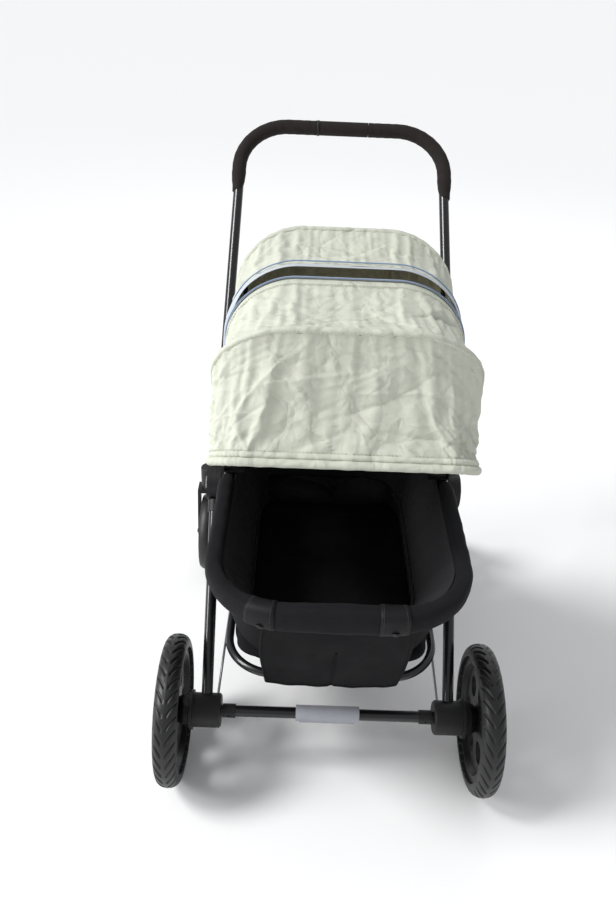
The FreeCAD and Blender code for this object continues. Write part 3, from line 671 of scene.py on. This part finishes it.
def canopy():
    front = canopy_sheet("canopy_front_cloth", SECOND, FRONT, dip=0.006, seed=2, excess=0.010, folds=120)
    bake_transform(front)
    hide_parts("canopy_front_panel")
    middle = canopy_sheet("canopy_middle_cloth", THIRD, SECOND, dip=0.010, seed=7, excess=0.010, folds=90)
    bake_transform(middle)
    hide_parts("canopy_middle_panel")
    near = canopy_sheet("canopy_vent_front", THIRD, REAR, dip=0.0, seed=9, excess=0.0, crease=0.0004, folds=0,
                        end=0.07, rows=6)
    rear = canopy_sheet("canopy_vent_cloth", THIRD, REAR, dip=-0.004, seed=11, excess=0.008, folds=60,
                        start=lambda s: 0.072 + slot_gap(s), rows=34)
    for sheet in (near, rear):
        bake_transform(sheet)
    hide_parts("canopy_vent_panel")
    back = canopy_sheet("canopy_back_cloth", REAR, HEM, dip=-0.004, seed=15, excess=0.010, folds=140, rows=56)
    sides_black(back)
    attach(back, "bassinet")
    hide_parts("canopy_back")
    for name, lean, radius, material in (("zip_front_tape", 0.075, (0.0040, 0.0009), ZIP_TAPE),
                                         ("zip_rear_tape", None, (0.0062, 0.0012), ZIP_TAPE),
                                         ("zip_front_blue", 0.058, (0.0011, 0.0011), ZIP_BLUE),
                                         ("zip_rear_blue", None, (0.0012, 0.0012), ZIP_BLUE)):
        path = []
        for index in range(241):
            s = 0.11 + 0.78 * index / 240
            gap = lean if lean else 0.072 + slot_gap(s) + (0.062 if material is ZIP_BLUE else 0.0)
            point = THIRD.point(s).lerp(REAR.point(s), gap)
            path.append(point + outward(point) * (0.0012 + radius[1] + (0.0018 if material is ZIP_BLUE else 0)))
        ring = circle(radius[0], 10, radius[1])
        tape = swept(name, path, lambda share: ring, material, None)
        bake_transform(tape)
    for name, hoop, body in (("bead_second", SECOND, "canopy_second"), ("bead_third", THIRD, "canopy_third"),
                             ("bead_rear", REAR, "bassinet")):
        hoop_bead(name, hoop, body)
    hoop_bead("hem_outer", FRONT, "canopy_front", 0.0074, 0.001, -0.004)
    hoop_bead("hem_inner", FRONT, "canopy_front", 0.0056, 0.002, -0.044, 0.17)
    hoop_bead("hem_back", HEM, "bassinet", 0.0045, 0.002)
    for name, hoop, body, lean in (("stitch_second", SECOND, "canopy_second", 0.017),
                                   ("stitch_third", THIRD, "canopy_third", 0.016),
                                   ("stitch_rear", REAR, "bassinet", -0.016),
                                   ("stitch_hem", FRONT, "canopy_front", -0.066)):
        row = [hoop.point(0.2 + 0.6 * i / 260, hoop.cloth + 0.0006, lean) for i in range(261)]
        stitches(name, row, PALE_THREAD, body)


def stitches(name, path, material, body, pitch=0.0062, size=(0.0021, 0.0005)):
    """Row of thread stitches lying on a path."""
    verts, faces = [], []
    spots = respaced(path, pitch)
    for a, b in zip(spots, spots[1:]):
        heading = (b - a).normalized()
        side = heading.orthogonal().normalized()
        lift = heading.cross(side)
        middle = (a + b) / 2
        first = len(verts)
        for along, thick in ((-1.0, 0.25), (-0.7, 1.0), (0.7, 1.0), (1.0, 0.25)):
            for index in range(6):
                turn = index * math.pi / 3
                verts.append(middle + heading * along * size[0]
                             + (side * math.cos(turn) + lift * math.sin(turn)) * size[1] * thick)
        faces += [tuple(first + k for k in face) for face in grid_faces(4, 6, False, True)]
        faces.append(tuple(first + k for k in reversed(range(6))))
        faces.append(tuple(first + 18 + k for k in range(6)))
    return piece(name, verts, faces, material, body)


def sides_black(sheet):
    """Gives the rear corners of the canopy their black side pieces."""
    sheet.data.materials.append(BLACK_CLOTH)
    layer = sheet.data.uv_layers[0].data
    for face in sheet.data.polygons:
        u = sum(layer[loop].uv[0] for loop in face.loop_indices) / len(face.vertices)
        share = min(u, CLOTH_WIDTH - u) / CLOTH_WIDTH
        if share < 0.2:
            face.material_index = 2


# ---- bumper ----
BUMPER_END_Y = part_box("bumper")[1].y
RIM_CORNER = 0.125
CUFFS = ((-0.147, -0.098), (0.058, 0.109))       # where the leather cuffs lie along the front bar
STUD_CORNER = 26                                  # which corner of the padding's section carries the stud


def bumper_path(step=0.005):
    points = [(-RIM_HALF, BUMPER_END_Y, RIM_Z), (-RIM_HALF, RIM_FRONT, RIM_Z),
              (RIM_HALF, RIM_FRONT, RIM_Z), (RIM_HALF, BUMPER_END_Y, RIM_Z)]
    return rounded_path(points, [RIM_CORNER] * 2, step)


def bumper_size(share):
    """(half depth, half height) of the padding along the U."""
    middle = ease(1 - abs(share - 0.5) / 0.26)
    end = ease(min(share, 1 - share) / 0.02)
    return (0.0150 + 0.0035 * middle) * (0.75 + 0.25 * end), (0.0165 + 0.0085 * middle) * (0.7 + 0.3 * end)


def bumper_ring(share, grow=0.0, count=28, lumps=True):
    depth, height = bumper_size(share)
    ring = []
    for index in range(count):
        turn = 2 * math.pi * index / count
        c, s = math.cos(turn), math.sin(turn)
        power = 0.72
        across = math.copysign(abs(c) ** power, c) * (depth + grow)
        high = math.copysign(abs(s) ** power, s) * (height + grow) - 0.4 * (height - 0.0165)
        if lumps:
            fold = wander((share * 30, c * 0.7, s * 0.7), 1.6, 3.0) * 0.0011
            across += c * fold
            high += s * fold
        ring.append((across, high))
    return ring


def bumper():
    pad = swept("bumper_pad", bumper_path(), bumper_ring, BLACK_TWILL)
    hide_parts("bumper")
    path = bumper_path()
    for number, (low, high) in enumerate(CUFFS):
        inside = [(i / (len(path) - 1), p) for i, p in enumerate(path) if low <= p.x <= high and p.y < RIM_FRONT + 0.05]
        first, last = inside[0][0], inside[-1][0]
        cuff = swept(f"bumper_cuff_{number}", [p for _, p in inside],
                     lambda share: bumper_ring(first + (last - first) * share, 0.0016, lumps=False),
                     LEATHER, "bassinet")
        thicken(cuff, 0.0002)
        placed = frames_along([p for _, p in inside], UP)
        for edge, (at, side, lift) in (("low", placed[1]), ("high", placed[-2])):
            share = first if edge == "low" else last
            row = [at + side * a + lift * h for a, h in bumper_ring(share, 0.0020, count=60, lumps=False)]
            stitches(f"cuff_stitch_{number}_{edge}", row, THREAD, "bassinet", 0.005)
        at, side, lift = placed[len(inside) // 2]
        across, high_up = bumper_ring((first + last) / 2, 0.0018, lumps=False)[STUD_CORNER]
        stud(f"cuff_stud_{number}", at + side * across + lift * high_up, side * across + lift * high_up)

    def seam_section(share):
        depth, height = bumper_size(share)
        return [(across - depth * 0.72, high - height * 1.02) for across, high in circle(0.0016, 8)]

    swept("bumper_piping", path, seam_section, BLACK_TWILL)


def stud(name, at, facing):
    """Domed snap stud with a rim."""
    profile = [(0.0, 0.0032), (0.002, 0.0030), (0.0038, 0.0020), (0.0045, 0.0012), (0.0058, 0.0014),
               (0.0066, 0.0006), (0.0066, -0.001), (0.0, -0.001)]
    turn = facing.to_track_quat("Z", "Y").to_matrix()
    verts = []
    count = 20
    for radius, lift in profile:
        for index in range(count):
            angle = 2 * math.pi * index / count
            verts.append(at + turn @ Vector((radius * math.cos(angle), radius * math.sin(angle), lift)))
    return piece(name, verts, grid_faces(len(profile), count, False, True), PLASTIC, "bassinet")


# ---- tub ----
def loop_point(share, half, front, rear, front_r, rear_r):
    """Point on a rounded rectangle: share 0 is the middle of the front, then round by +X."""
    share %= 1.0
    mirrored = share > 0.5
    runs = [half - front_r, front_r * math.pi / 2, rear - front - front_r - rear_r, rear_r * math.pi / 2,
            half - rear_r]
    want = (1 - share if mirrored else share) * 2 * sum(runs)
    index = 0
    while index < 4 and want > runs[index]:
        want -= runs[index]
        index += 1
    turn_f, turn_r = want / front_r, want / rear_r
    x, y = ((want, front),
            (half - front_r + front_r * math.sin(turn_f), front + front_r - front_r * math.cos(turn_f)),
            (half, front + front_r + want),
            (half - rear_r + rear_r * math.cos(turn_r), rear - rear_r + rear_r * math.sin(turn_r)),
            (half - rear_r - want, rear))[index]
    return (-x if mirrored else x), y


def mix(a, b, t):
    return a + (b - a) * t


TUB_COLUMNS = 220


def tub_ring(depth, inset=0.0, seed=0.0, folds=0.0):
    """Ring of the tub's wall: depth 0 at the rim, 1 at the floor."""
    half = mix(RIM_HALF - 0.010, BASE_HALF - 0.012, depth) - inset
    front = mix(RIM_FRONT + 0.010, BASE_FRONT + 0.014, depth) + inset
    rear = mix(RIM_REAR - 0.010, BASE_REAR - 0.010, depth) - inset
    z = mix(RIM_Z + 0.004, TUB_LOW.z, depth)
    centre = Vector((0, (front + rear) / 2, z))
    belly = 0.006 * math.sin(math.pi * depth)
    ring = []
    for j in range(TUB_COLUMNS):
        share = j / TUB_COLUMNS
        point = Vector((*loop_point(share, half, front, rear, mix(0.115, 0.125, depth), mix(0.080, 0.090, depth)), z))
        fold = wander((share * 26, depth * 3.0, seed), 1.0, seed) * folds
        ring.append(point + (point - centre).normalized() * (belly + fold))
    return ring


def tub():
    """Fabric tub: outer wall with its floor, and a softer gathered lining inside."""
    depths = [i / 34 for i in range(35)]
    rows = len(depths)
    verts = []
    for depth in depths:
        verts += tub_ring(depth, 0.0, 4.0, 0.003 * math.sin(math.pi * depth))
    last = verts[-TUB_COLUMNS:]
    middle = sum(last, Vector()) / len(last)
    for shrink in (0.93, 0.8, 0.5, 0.1):
        for point in last:
            verts.append(middle + (point - middle) * shrink + Vector((0, 0, -0.004)))
        rows += 1
    faces = grid_faces(rows, TUB_COLUMNS, False, True)
    faces.append(tuple(rows * TUB_COLUMNS - TUB_COLUMNS + j for j in range(TUB_COLUMNS)))
    outer = piece("tub_cloth", verts, faces, BLACK_CLOTH, "bassinet")
    thicken(outer, 0.002)
    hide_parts("tub_shell")

    verts = []
    for depth in depths:
        for j, point in enumerate(tub_ring(depth * 0.88, 0.006 + 0.024 * ease(depth * 1.3), 6.0, 0.0)):
            share = j / TUB_COLUMNS
            gather = math.sin(share * 2 * math.pi * 38 + 4 * wander((share * 14, depth * 0.6, 0), 1.0, 2.0))
            gather += 0.8 * wander((share * 60, depth * 5, 1), 1.0, 7.0)
            strength = 0.0016 * ease(depth * 5) * (1 - 0.6 * depth)
            centre = Vector((0, point.y * 0.3 - 0.13, point.z))
            away = (centre - point).normalized()
            verts.append(point + away * (strength * (1 + gather) + 0.010 * math.sin(math.pi * depth) ** 2))
    lining = piece("tub_lining", verts, grid_faces(len(depths), TUB_COLUMNS, False, True),
                   CUSHION_CLOTH, "bassinet")
    thicken(lining, 0.0014)
    edge = [Vector(v) for v in verts[-7 * TUB_COLUMNS:-6 * TUB_COLUMNS]]
    middle = sum(edge, Vector()) / len(edge)
    edge = respaced([p + (middle - p).normalized() * 0.003 for p in edge + edge[:1]], 0.003)[:-1]

    def scallop(share):
        size = 0.0026 + 0.0014 * abs(math.sin(share * math.pi * 74))
        return circle(size, 10)

    swept("lining_piping", edge, scallop, CUSHION_CLOTH, closed=True)
    rim_wrap()


def rim_wrap():
    """Sleeve of tub cloth round the bare rear part of the rim tube."""
    points = [(RIM_HALF, BUMPER_END_Y + 0.052, RIM_Z), (RIM_HALF, RIM_REAR, RIM_Z),
              (-RIM_HALF, RIM_REAR, RIM_Z), (-RIM_HALF, BUMPER_END_Y + 0.052, RIM_Z)]
    path = rounded_path(points, [0.09, 0.09], 0.006)

    swept("rim_sleeve", path, lambda share: circle(0.0092 + 0.0004 * math.sin(share * 260), 14))


def skirt():
    """Front panel from the bumper down round the base tube, with a centre seam."""
    low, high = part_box("front_skirt")
    rows, columns = 40, 60
    verts = []
    for i in range(rows):
        t = i / (rows - 1)
        for j in range(columns):
            s = j / (columns - 1) * 2 - 1
            x = s * (high.x + 0.008 * math.sin(math.pi * t))
            y = mix(low.y + 0.004, high.y - 0.0005, ease(t * 1.02) * 0.25 + t * 0.75)
            z = mix(high.z, low.z, t) + 0.006 * abs(s) ** 4 * t
            y -= 0.006 * math.sin(math.pi * t) * (1 - s * s)
            y += 0.004 * math.exp(-(s / 0.03) ** 2) * t
            y += wander((s * 3, t * 3, 0), 1.3, 12.0) * 0.0035
            y += 0.0022 * math.sin(s * 9 + t * 3 + 2 * wander((s, t, 2), 1.0, 8.0)) * math.sin(math.pi * t)
            verts.append((x, y, z))
    panel = piece("skirt_cloth", verts, grid_faces(rows, columns), BLACK_CLOTH, "bassinet")
    thicken(panel, 0.0022, offset=0.0)
    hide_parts("front_skirt")
    hem_path = [Vector(v) for v in verts[-columns:]]
    swept("skirt_hem", respaced(hem_path, 0.005), round_section(0.0032, 10))
    for sign in (0, columns - 1):
        side = [Vector(verts[i * columns + sign]) for i in range(rows)]
        swept(f"skirt_side_{sign}", respaced(side, 0.005), round_section(0.0026, 10), up=FORWARD)
    seam = [Vector(verts[i * columns + columns // 2]) + Vector((0, -0.002, 0)) for i in range(18, rows)]
    swept("skirt_seam", respaced(seam, 0.004), round_section(0.0015, 8), up=FORWARD)


def cushion(name, low, high, crown, material, replaces):
    """Crowned pad with rounded corners and sewn cross channels."""
    rows, columns = 60, 40
    top, bottom = [], []
    for i in range(rows):
        for j in range(columns):
            u, v = j / (columns - 1) * 2 - 1, i / (rows - 1) * 2 - 1
            square = (max(0, abs(u) - 0.72) / 0.28, max(0, abs(v) - 0.84) / 0.16)
            pull = max(1.0, math.hypot(*square))
            uu = math.copysign(min(abs(u), 0.72) + max(0, abs(u) - 0.72) / pull, u)
            vv = math.copysign(min(abs(v), 0.84) + max(0, abs(v) - 0.84) / pull, v)
            x = mix(low.x, high.x, (uu + 1) / 2)
            y = mix(low.y, high.y, (vv + 1) / 2)
            edge = (1 - abs(u) ** 8) * (1 - abs(v) ** 10)
            channel = 0.004 * math.exp(-((v * 4) % 1.0 - 0.5) ** 2 / 0.004)
            thick = (high.z - low.z) * (0.35 + 0.65 * edge ** 0.5)
            lump = wander((x, y, 0), 18.0, 5.0) * 0.0016
            top.append((x, y, low.z + thick + crown * edge - channel * edge + lump * edge))
            bottom.append((x, y, low.z))
    faces = grid_faces(rows, columns)
    offset = len(top)
    faces += [tuple(offset + k for k in reversed(face)) for face in grid_faces(rows, columns)]
    border = list(range(columns)) + [i * columns + columns - 1 for i in range(1, rows)]
    border += [(rows - 1) * columns + j for j in range(columns - 2, -1, -1)]
    border += [i * columns for i in range(rows - 2, 0, -1)]
    for a, b in zip(border, border[1:] + border[:1]):
        faces.append((b, a, offset + a, offset + b))
    pad = piece(name, top + bottom, faces, material, "bassinet")
    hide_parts(replaces)
    return pad


def inside():
    """Floor pad, cushion roll and tether strap in the tub."""
    low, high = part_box("floor_pad")
    cushion("floor_cushion", low + Vector((0.004, 0.004, 0)), high - Vector((0.004, 0.004, 0.006)), 0.006,
            BLACK_CLOTH, "floor_pad")
    low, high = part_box("bolster")
    centre = (low + high) / 2
    radius = (high.z - low.z) / 2
    path = [Vector((mix(low.x, high.x, i / 60), centre.y, centre.z)) for i in range(61)]

    def section(share):
        end = math.sqrt(max(0.02, 1 - abs(share * 2 - 1) ** 6))
        ring = []
        for index in range(28):
            turn = 2 * math.pi * index / 28
            lump = 1 + 0.05 * wander((share * 12, math.cos(turn), math.sin(turn)), 1.2, 9.0)
            seam = 1 - 0.06 * math.exp(-((share * 3) % 1.0 - 0.5) ** 2 / 0.002)
            size = radius * 0.97 * end * lump * seam
            ring.append((size * math.cos(turn), max(-0.93 * radius, size * math.sin(turn))))
        return ring

    roll = swept("cushion_roll", path, section, CUSHION_CLOTH)
    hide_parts("bolster")
    tether(centre, radius)


def tether(centre, radius):
    """Webbing strap that crosses the cushion roll to a V-shaped clip."""
    top = centre.z + radius + 0.0015
    line = [(-0.150, centre.y - 0.004, top - 0.006), (-0.118, centre.y - 0.008, top),
            (-0.06, centre.y - 0.016, top - 0.002), (-0.02, centre.y - 0.026, top - 0.009),
            (0.004, centre.y - 0.033, top - 0.020)]
    path = smoothed([Vector(p) for p in line], 0.004)
    flat = [(-0.0105, -0.0008), (0.0105, -0.0008), (0.0112, 0), (0.0105, 0.0008), (-0.0105, 0.0008), (-0.0112, 0)]
    strap = swept("tether_strap", path, lambda share: flat, WEBBING)
    tip = path[-1]
    for number, (dx, dz) in enumerate(((0.020, 0.030), (-0.004, 0.036))):
        bar = [tip.lerp(tip + Vector((dx, 0.004, dz)), i / 8) for i in range(9)]
        swept(f"tether_clip_{number}", bar, round_section(0.0028, 12), PLASTIC, "bassinet",
              Vector((0, 1, 0)))


def smoothed(points, step):
    """Even points on a smooth line through the given ones."""
    line = []
    ends = [points[0] * 2 - points[1]] + points + [points[-1] * 2 - points[-2]]
    for a, b, c, d in zip(ends, ends[1:], ends[2:], ends[3:]):
        for index in range(12):
            t = index / 12
            line.append(0.5 * (2 * b + (c - a) * t + (2 * a - 5 * b + 4 * c - d) * t * t
                               + (3 * b - a - 3 * c + d) * t ** 3))
    return respaced(line + [points[-1]], step)


# ---- wheels ----
TREAD_PITCHES = 36
TYRE_SEAT_R = 0.119


def tyre(side):
    """Large tyre with leaf-shaped blocks that lean off a smooth centre rib."""
    node = f"rear_tyre_{side}"
    low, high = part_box(node)
    centre = (low + high) / 2
    outer = (high.z - low.z) / 2
    half = (high.x - low.x) / 2
    around, across = TREAD_PITCHES * 20, 44
    verts = []
    for i in range(around):
        angle = 2 * math.pi * i / around
        for j in range(across):
            u = j / (across - 1) * 2 - 1
            wide = math.copysign(min(1.0, abs(u) * 1.18), u)
            x = half * math.sin(wide * math.pi / 2 * 0.98)
            crown = math.cos(wide * math.pi / 2 * 0.98)
            radius = TYRE_SEAT_R + (outer - TYRE_SEAT_R) * crown ** 0.62
            if abs(u) > 0.9:
                x *= 1 - 0.9 * (abs(u) - 0.9)
                radius = TYRE_SEAT_R + 0.001
            reach = abs(x) / half
            phase = (TREAD_PITCHES * angle / (2 * math.pi) - 1.55 * reach ** 0.75) % 1.0
            leaf = 0.375 + 0.09 * reach
            cut = ease((leaf - abs(phase - 0.5)) / 0.07) if 0.16 < reach < 0.93 else 1.0
            rib = ease((reach - 0.14) / 0.06)
            side_fade = ease((0.97 - reach) / 0.1)
            radius -= 0.0031 * (1 - cut) * rib * side_fade
            radius -= 0.0010 * math.exp(-((reach - 0.16) / 0.03) ** 2)
            verts.append((centre.x + x, centre.y + radius * math.sin(angle), centre.z + radius * math.cos(angle)))
    faces = grid_faces(around, across, True, False)
    for i in range(around):
        k = (i + 1) % around
        faces.append((i * across, k * across, k * across + across - 1, i * across + across - 1))
    tread = piece(f"tread_{side}", verts, faces, TYRE, f"rear_wheel_{side}")
    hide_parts(node)


# ---- handle ----
HANDLE_PIVOT_X = 0.246
GRIP_REACH = 0.172                                # how far a grip runs down from the handle's corner


def grips():
    """Foam sleeves, each tapering to the tube, and the ring at the middle grip's end."""
    bar = centre_of("handle_middle_grip")
    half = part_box("handle_grip_right")[1].x - GRIP_R
    knuckle = centre_of("pivot_bolts")
    middle_low, middle_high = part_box("handle_middle_grip")
    for side, sign in (("left", -1), ("right", 1)):
        corner = Vector((sign * half, bar.y, bar.z))
        pivot = Vector((sign * HANDLE_PIVOT_X, knuckle.y, knuckle.z))
        low = corner + (pivot - corner).normalized() * GRIP_REACH
        end = Vector((sign * (middle_high.x + 0.0015), bar.y, bar.z))
        path = rounded_path([low, corner, end], [0.110], 0.004)

        def section(share):
            taper = ease(share / 0.15)
            radius = mix(0.0119, GRIP_R, taper) + 0.0002 * math.sin(share * 90)
            return circle(radius, 24)

        foam = swept(f"foam_{side}", path, section, FOAM, "handle", Vector((1, 0, 0.3)))
        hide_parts(f"handle_grip_{side}")
    ring = [Vector((middle_low.x + dx, bar.y, bar.z)) for dx in (-0.003, -0.001, 0.001, 0.003)]
    swept("grip_ring", ring, round_section(GRIP_R + 0.0012, 28), PLASTIC, "handle")


# ---- basket ----
def basket():
    low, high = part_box("basket_bag")
    rows, columns = 26, 180
    verts = []
    for i in range(rows + 6):
        depth = min(1.0, i / (rows - 1))
        floor = max(0, i - rows + 1) / 6
        for j in range(columns):
            share = j / columns
            shrink = 0.018 * depth
            x, y = loop_point(share, high.x - 0.001 - shrink, low.y + 0.001 + shrink,
                              high.y - 0.001 - shrink * 1.3, 0.045, 0.045)
            centre = Vector((0, (low.y + high.y) / 2, 0))
            sag = 0.004 * math.sin(math.pi * depth) + wander((share * 20, depth * 2, 1), 1.0, 21.0) * 0.003
            inward = (centre - Vector((x, y, 0))).normalized()
            z = mix(high.z, low.z + 0.002, depth)
            point = Vector((x, y, z)) + inward * sag * (1 - floor)
            if floor:
                point = Vector((centre.x, centre.y, point.z)).lerp(point, 1 - floor * 0.98)
            verts.append(point)
    total = rows + 6
    faces = grid_faces(total, columns, False, True)
    faces.append(tuple((total - 1) * columns + j for j in range(columns)))
    bag = piece("basket_cloth", verts, faces, BLACK_CLOTH, "chassis")
    thicken(bag, 0.0016)
    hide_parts("basket_bag")
    swept("basket_binding", verts[:columns], round_section(0.0035, 10), BLACK_TWILL, "chassis",
            closed=True)


# ---- CAD nodes that keep their shape ----
NODE_MATERIALS = {
    "gloss_black_tube": PAINT, "black_moulding": PLASTIC, "wheel_rim": RIM_PLASTIC, "tyre": TYRE,
    "grey_sleeve": SLEEVE, "steel": STEEL, "grip_foam": FOAM, "hoop_rod": PLASTIC, "canopy_fabric": CANOPY,
    "black_fabric": BLACK_CLOTH, "bumper_cover": LEATHER, "board": PLASTIC,
}


def dress_nodes():
    slots = {part["node"]: part["material_slot"] for part in frame["record"]["subparts"]}
    for name, node in frame["nodes"].items():
        material = WEBBING if name == "basket_straps" else FOAM if name == "handle_middle_grip" \
            else NODE_MATERIALS[slots[name]]
        if not node.material_slots:
            node.data.materials.append(material)
        for slot in node.material_slots:
            slot.material = material


# ---- camera, floor and light ----
CAMERA_AT = (-0.0762, -1.5094, 1.4665)
CAMERA_YAW, CAMERA_PITCH, CAMERA_ROLL = -0.014, 0.574, -0.045
LENS = 33.23


def camera():
    turn = (Matrix.Rotation(CAMERA_YAW, 3, "Z") @ Matrix.Rotation(-CAMERA_PITCH, 3, "X")
            @ Matrix.Rotation(CAMERA_ROLL, 3, "Y"))
    right, ahead, up = (Vector(turn.col[i]) for i in range(3))
    data = bpy.data.cameras.new("camera")
    data.lens = LENS
    data.sensor_width = 36
    data.clip_end = 60
    view = linked("camera", data)
    axes = Matrix((right, up, -ahead)).transposed()
    view.matrix_world = Matrix.Translation(CAMERA_AT) @ axes.to_4x4()
    bpy.context.scene.camera = view


def area_light(name, at, target, size, power):
    data = bpy.data.lights.new(name, "AREA")
    data.shape = "RECTANGLE"
    data.size, data.size_y = size
    data.energy = power
    lamp = linked(name, data)
    lamp.location = at
    lamp.rotation_euler = (Vector(target) - Vector(at)).to_track_quat("-Z", "Y").to_euler()


def studio():
    size = 30.0
    verts = [(-size, -size, 0), (size, -size, 0), (size, size, 0), (-size, size, 0)]
    mesh = bpy.data.meshes.new("floor")
    mesh.from_pydata(verts, [], [(0, 1, 2, 3)])
    floor = linked("floor", mesh)
    material = new_material("floor_paper", (0.9, 0.9, 0.9), 0.9)
    nodes = Nodes(material)
    nodes.bump(nodes.noise(60.0), 0.05, 0.002)
    mesh.materials.append(material)
    world = bpy.data.worlds.new("world")
    bpy.context.scene.world = world
    world.use_nodes = True
    background = world.node_tree.nodes["Background"]
    background.inputs["Color"].default_value = (0.97, 0.98, 1.0, 1)
    background.inputs["Strength"].default_value = 0.56
    sun = bpy.data.lights.new("sun", "SUN")
    sun.energy = 2.0
    sun.angle = 0.3
    lamp = linked("sun", sun)
    lamp.rotation_euler = Vector((0.62, 0.05, -0.75)).to_track_quat("-Z", "Y").to_euler()
    area_light("key", (-2.4, -1.0, 1.5), (0, -0.2, 0.8), (0.8, 0.8), 34)
    area_light("back", (0.6, 2.8, 2.6), (0, 0, 0.6), (2.5, 1.5), 14)
    bpy.context.scene.view_settings.view_transform = "Standard"


camera()
studio()
dress_nodes()
canopy()
bumper()
tub()
skirt()
inside()
for wheel_side in ("left", "right"):
    tyre(wheel_side)
grips()
basket()
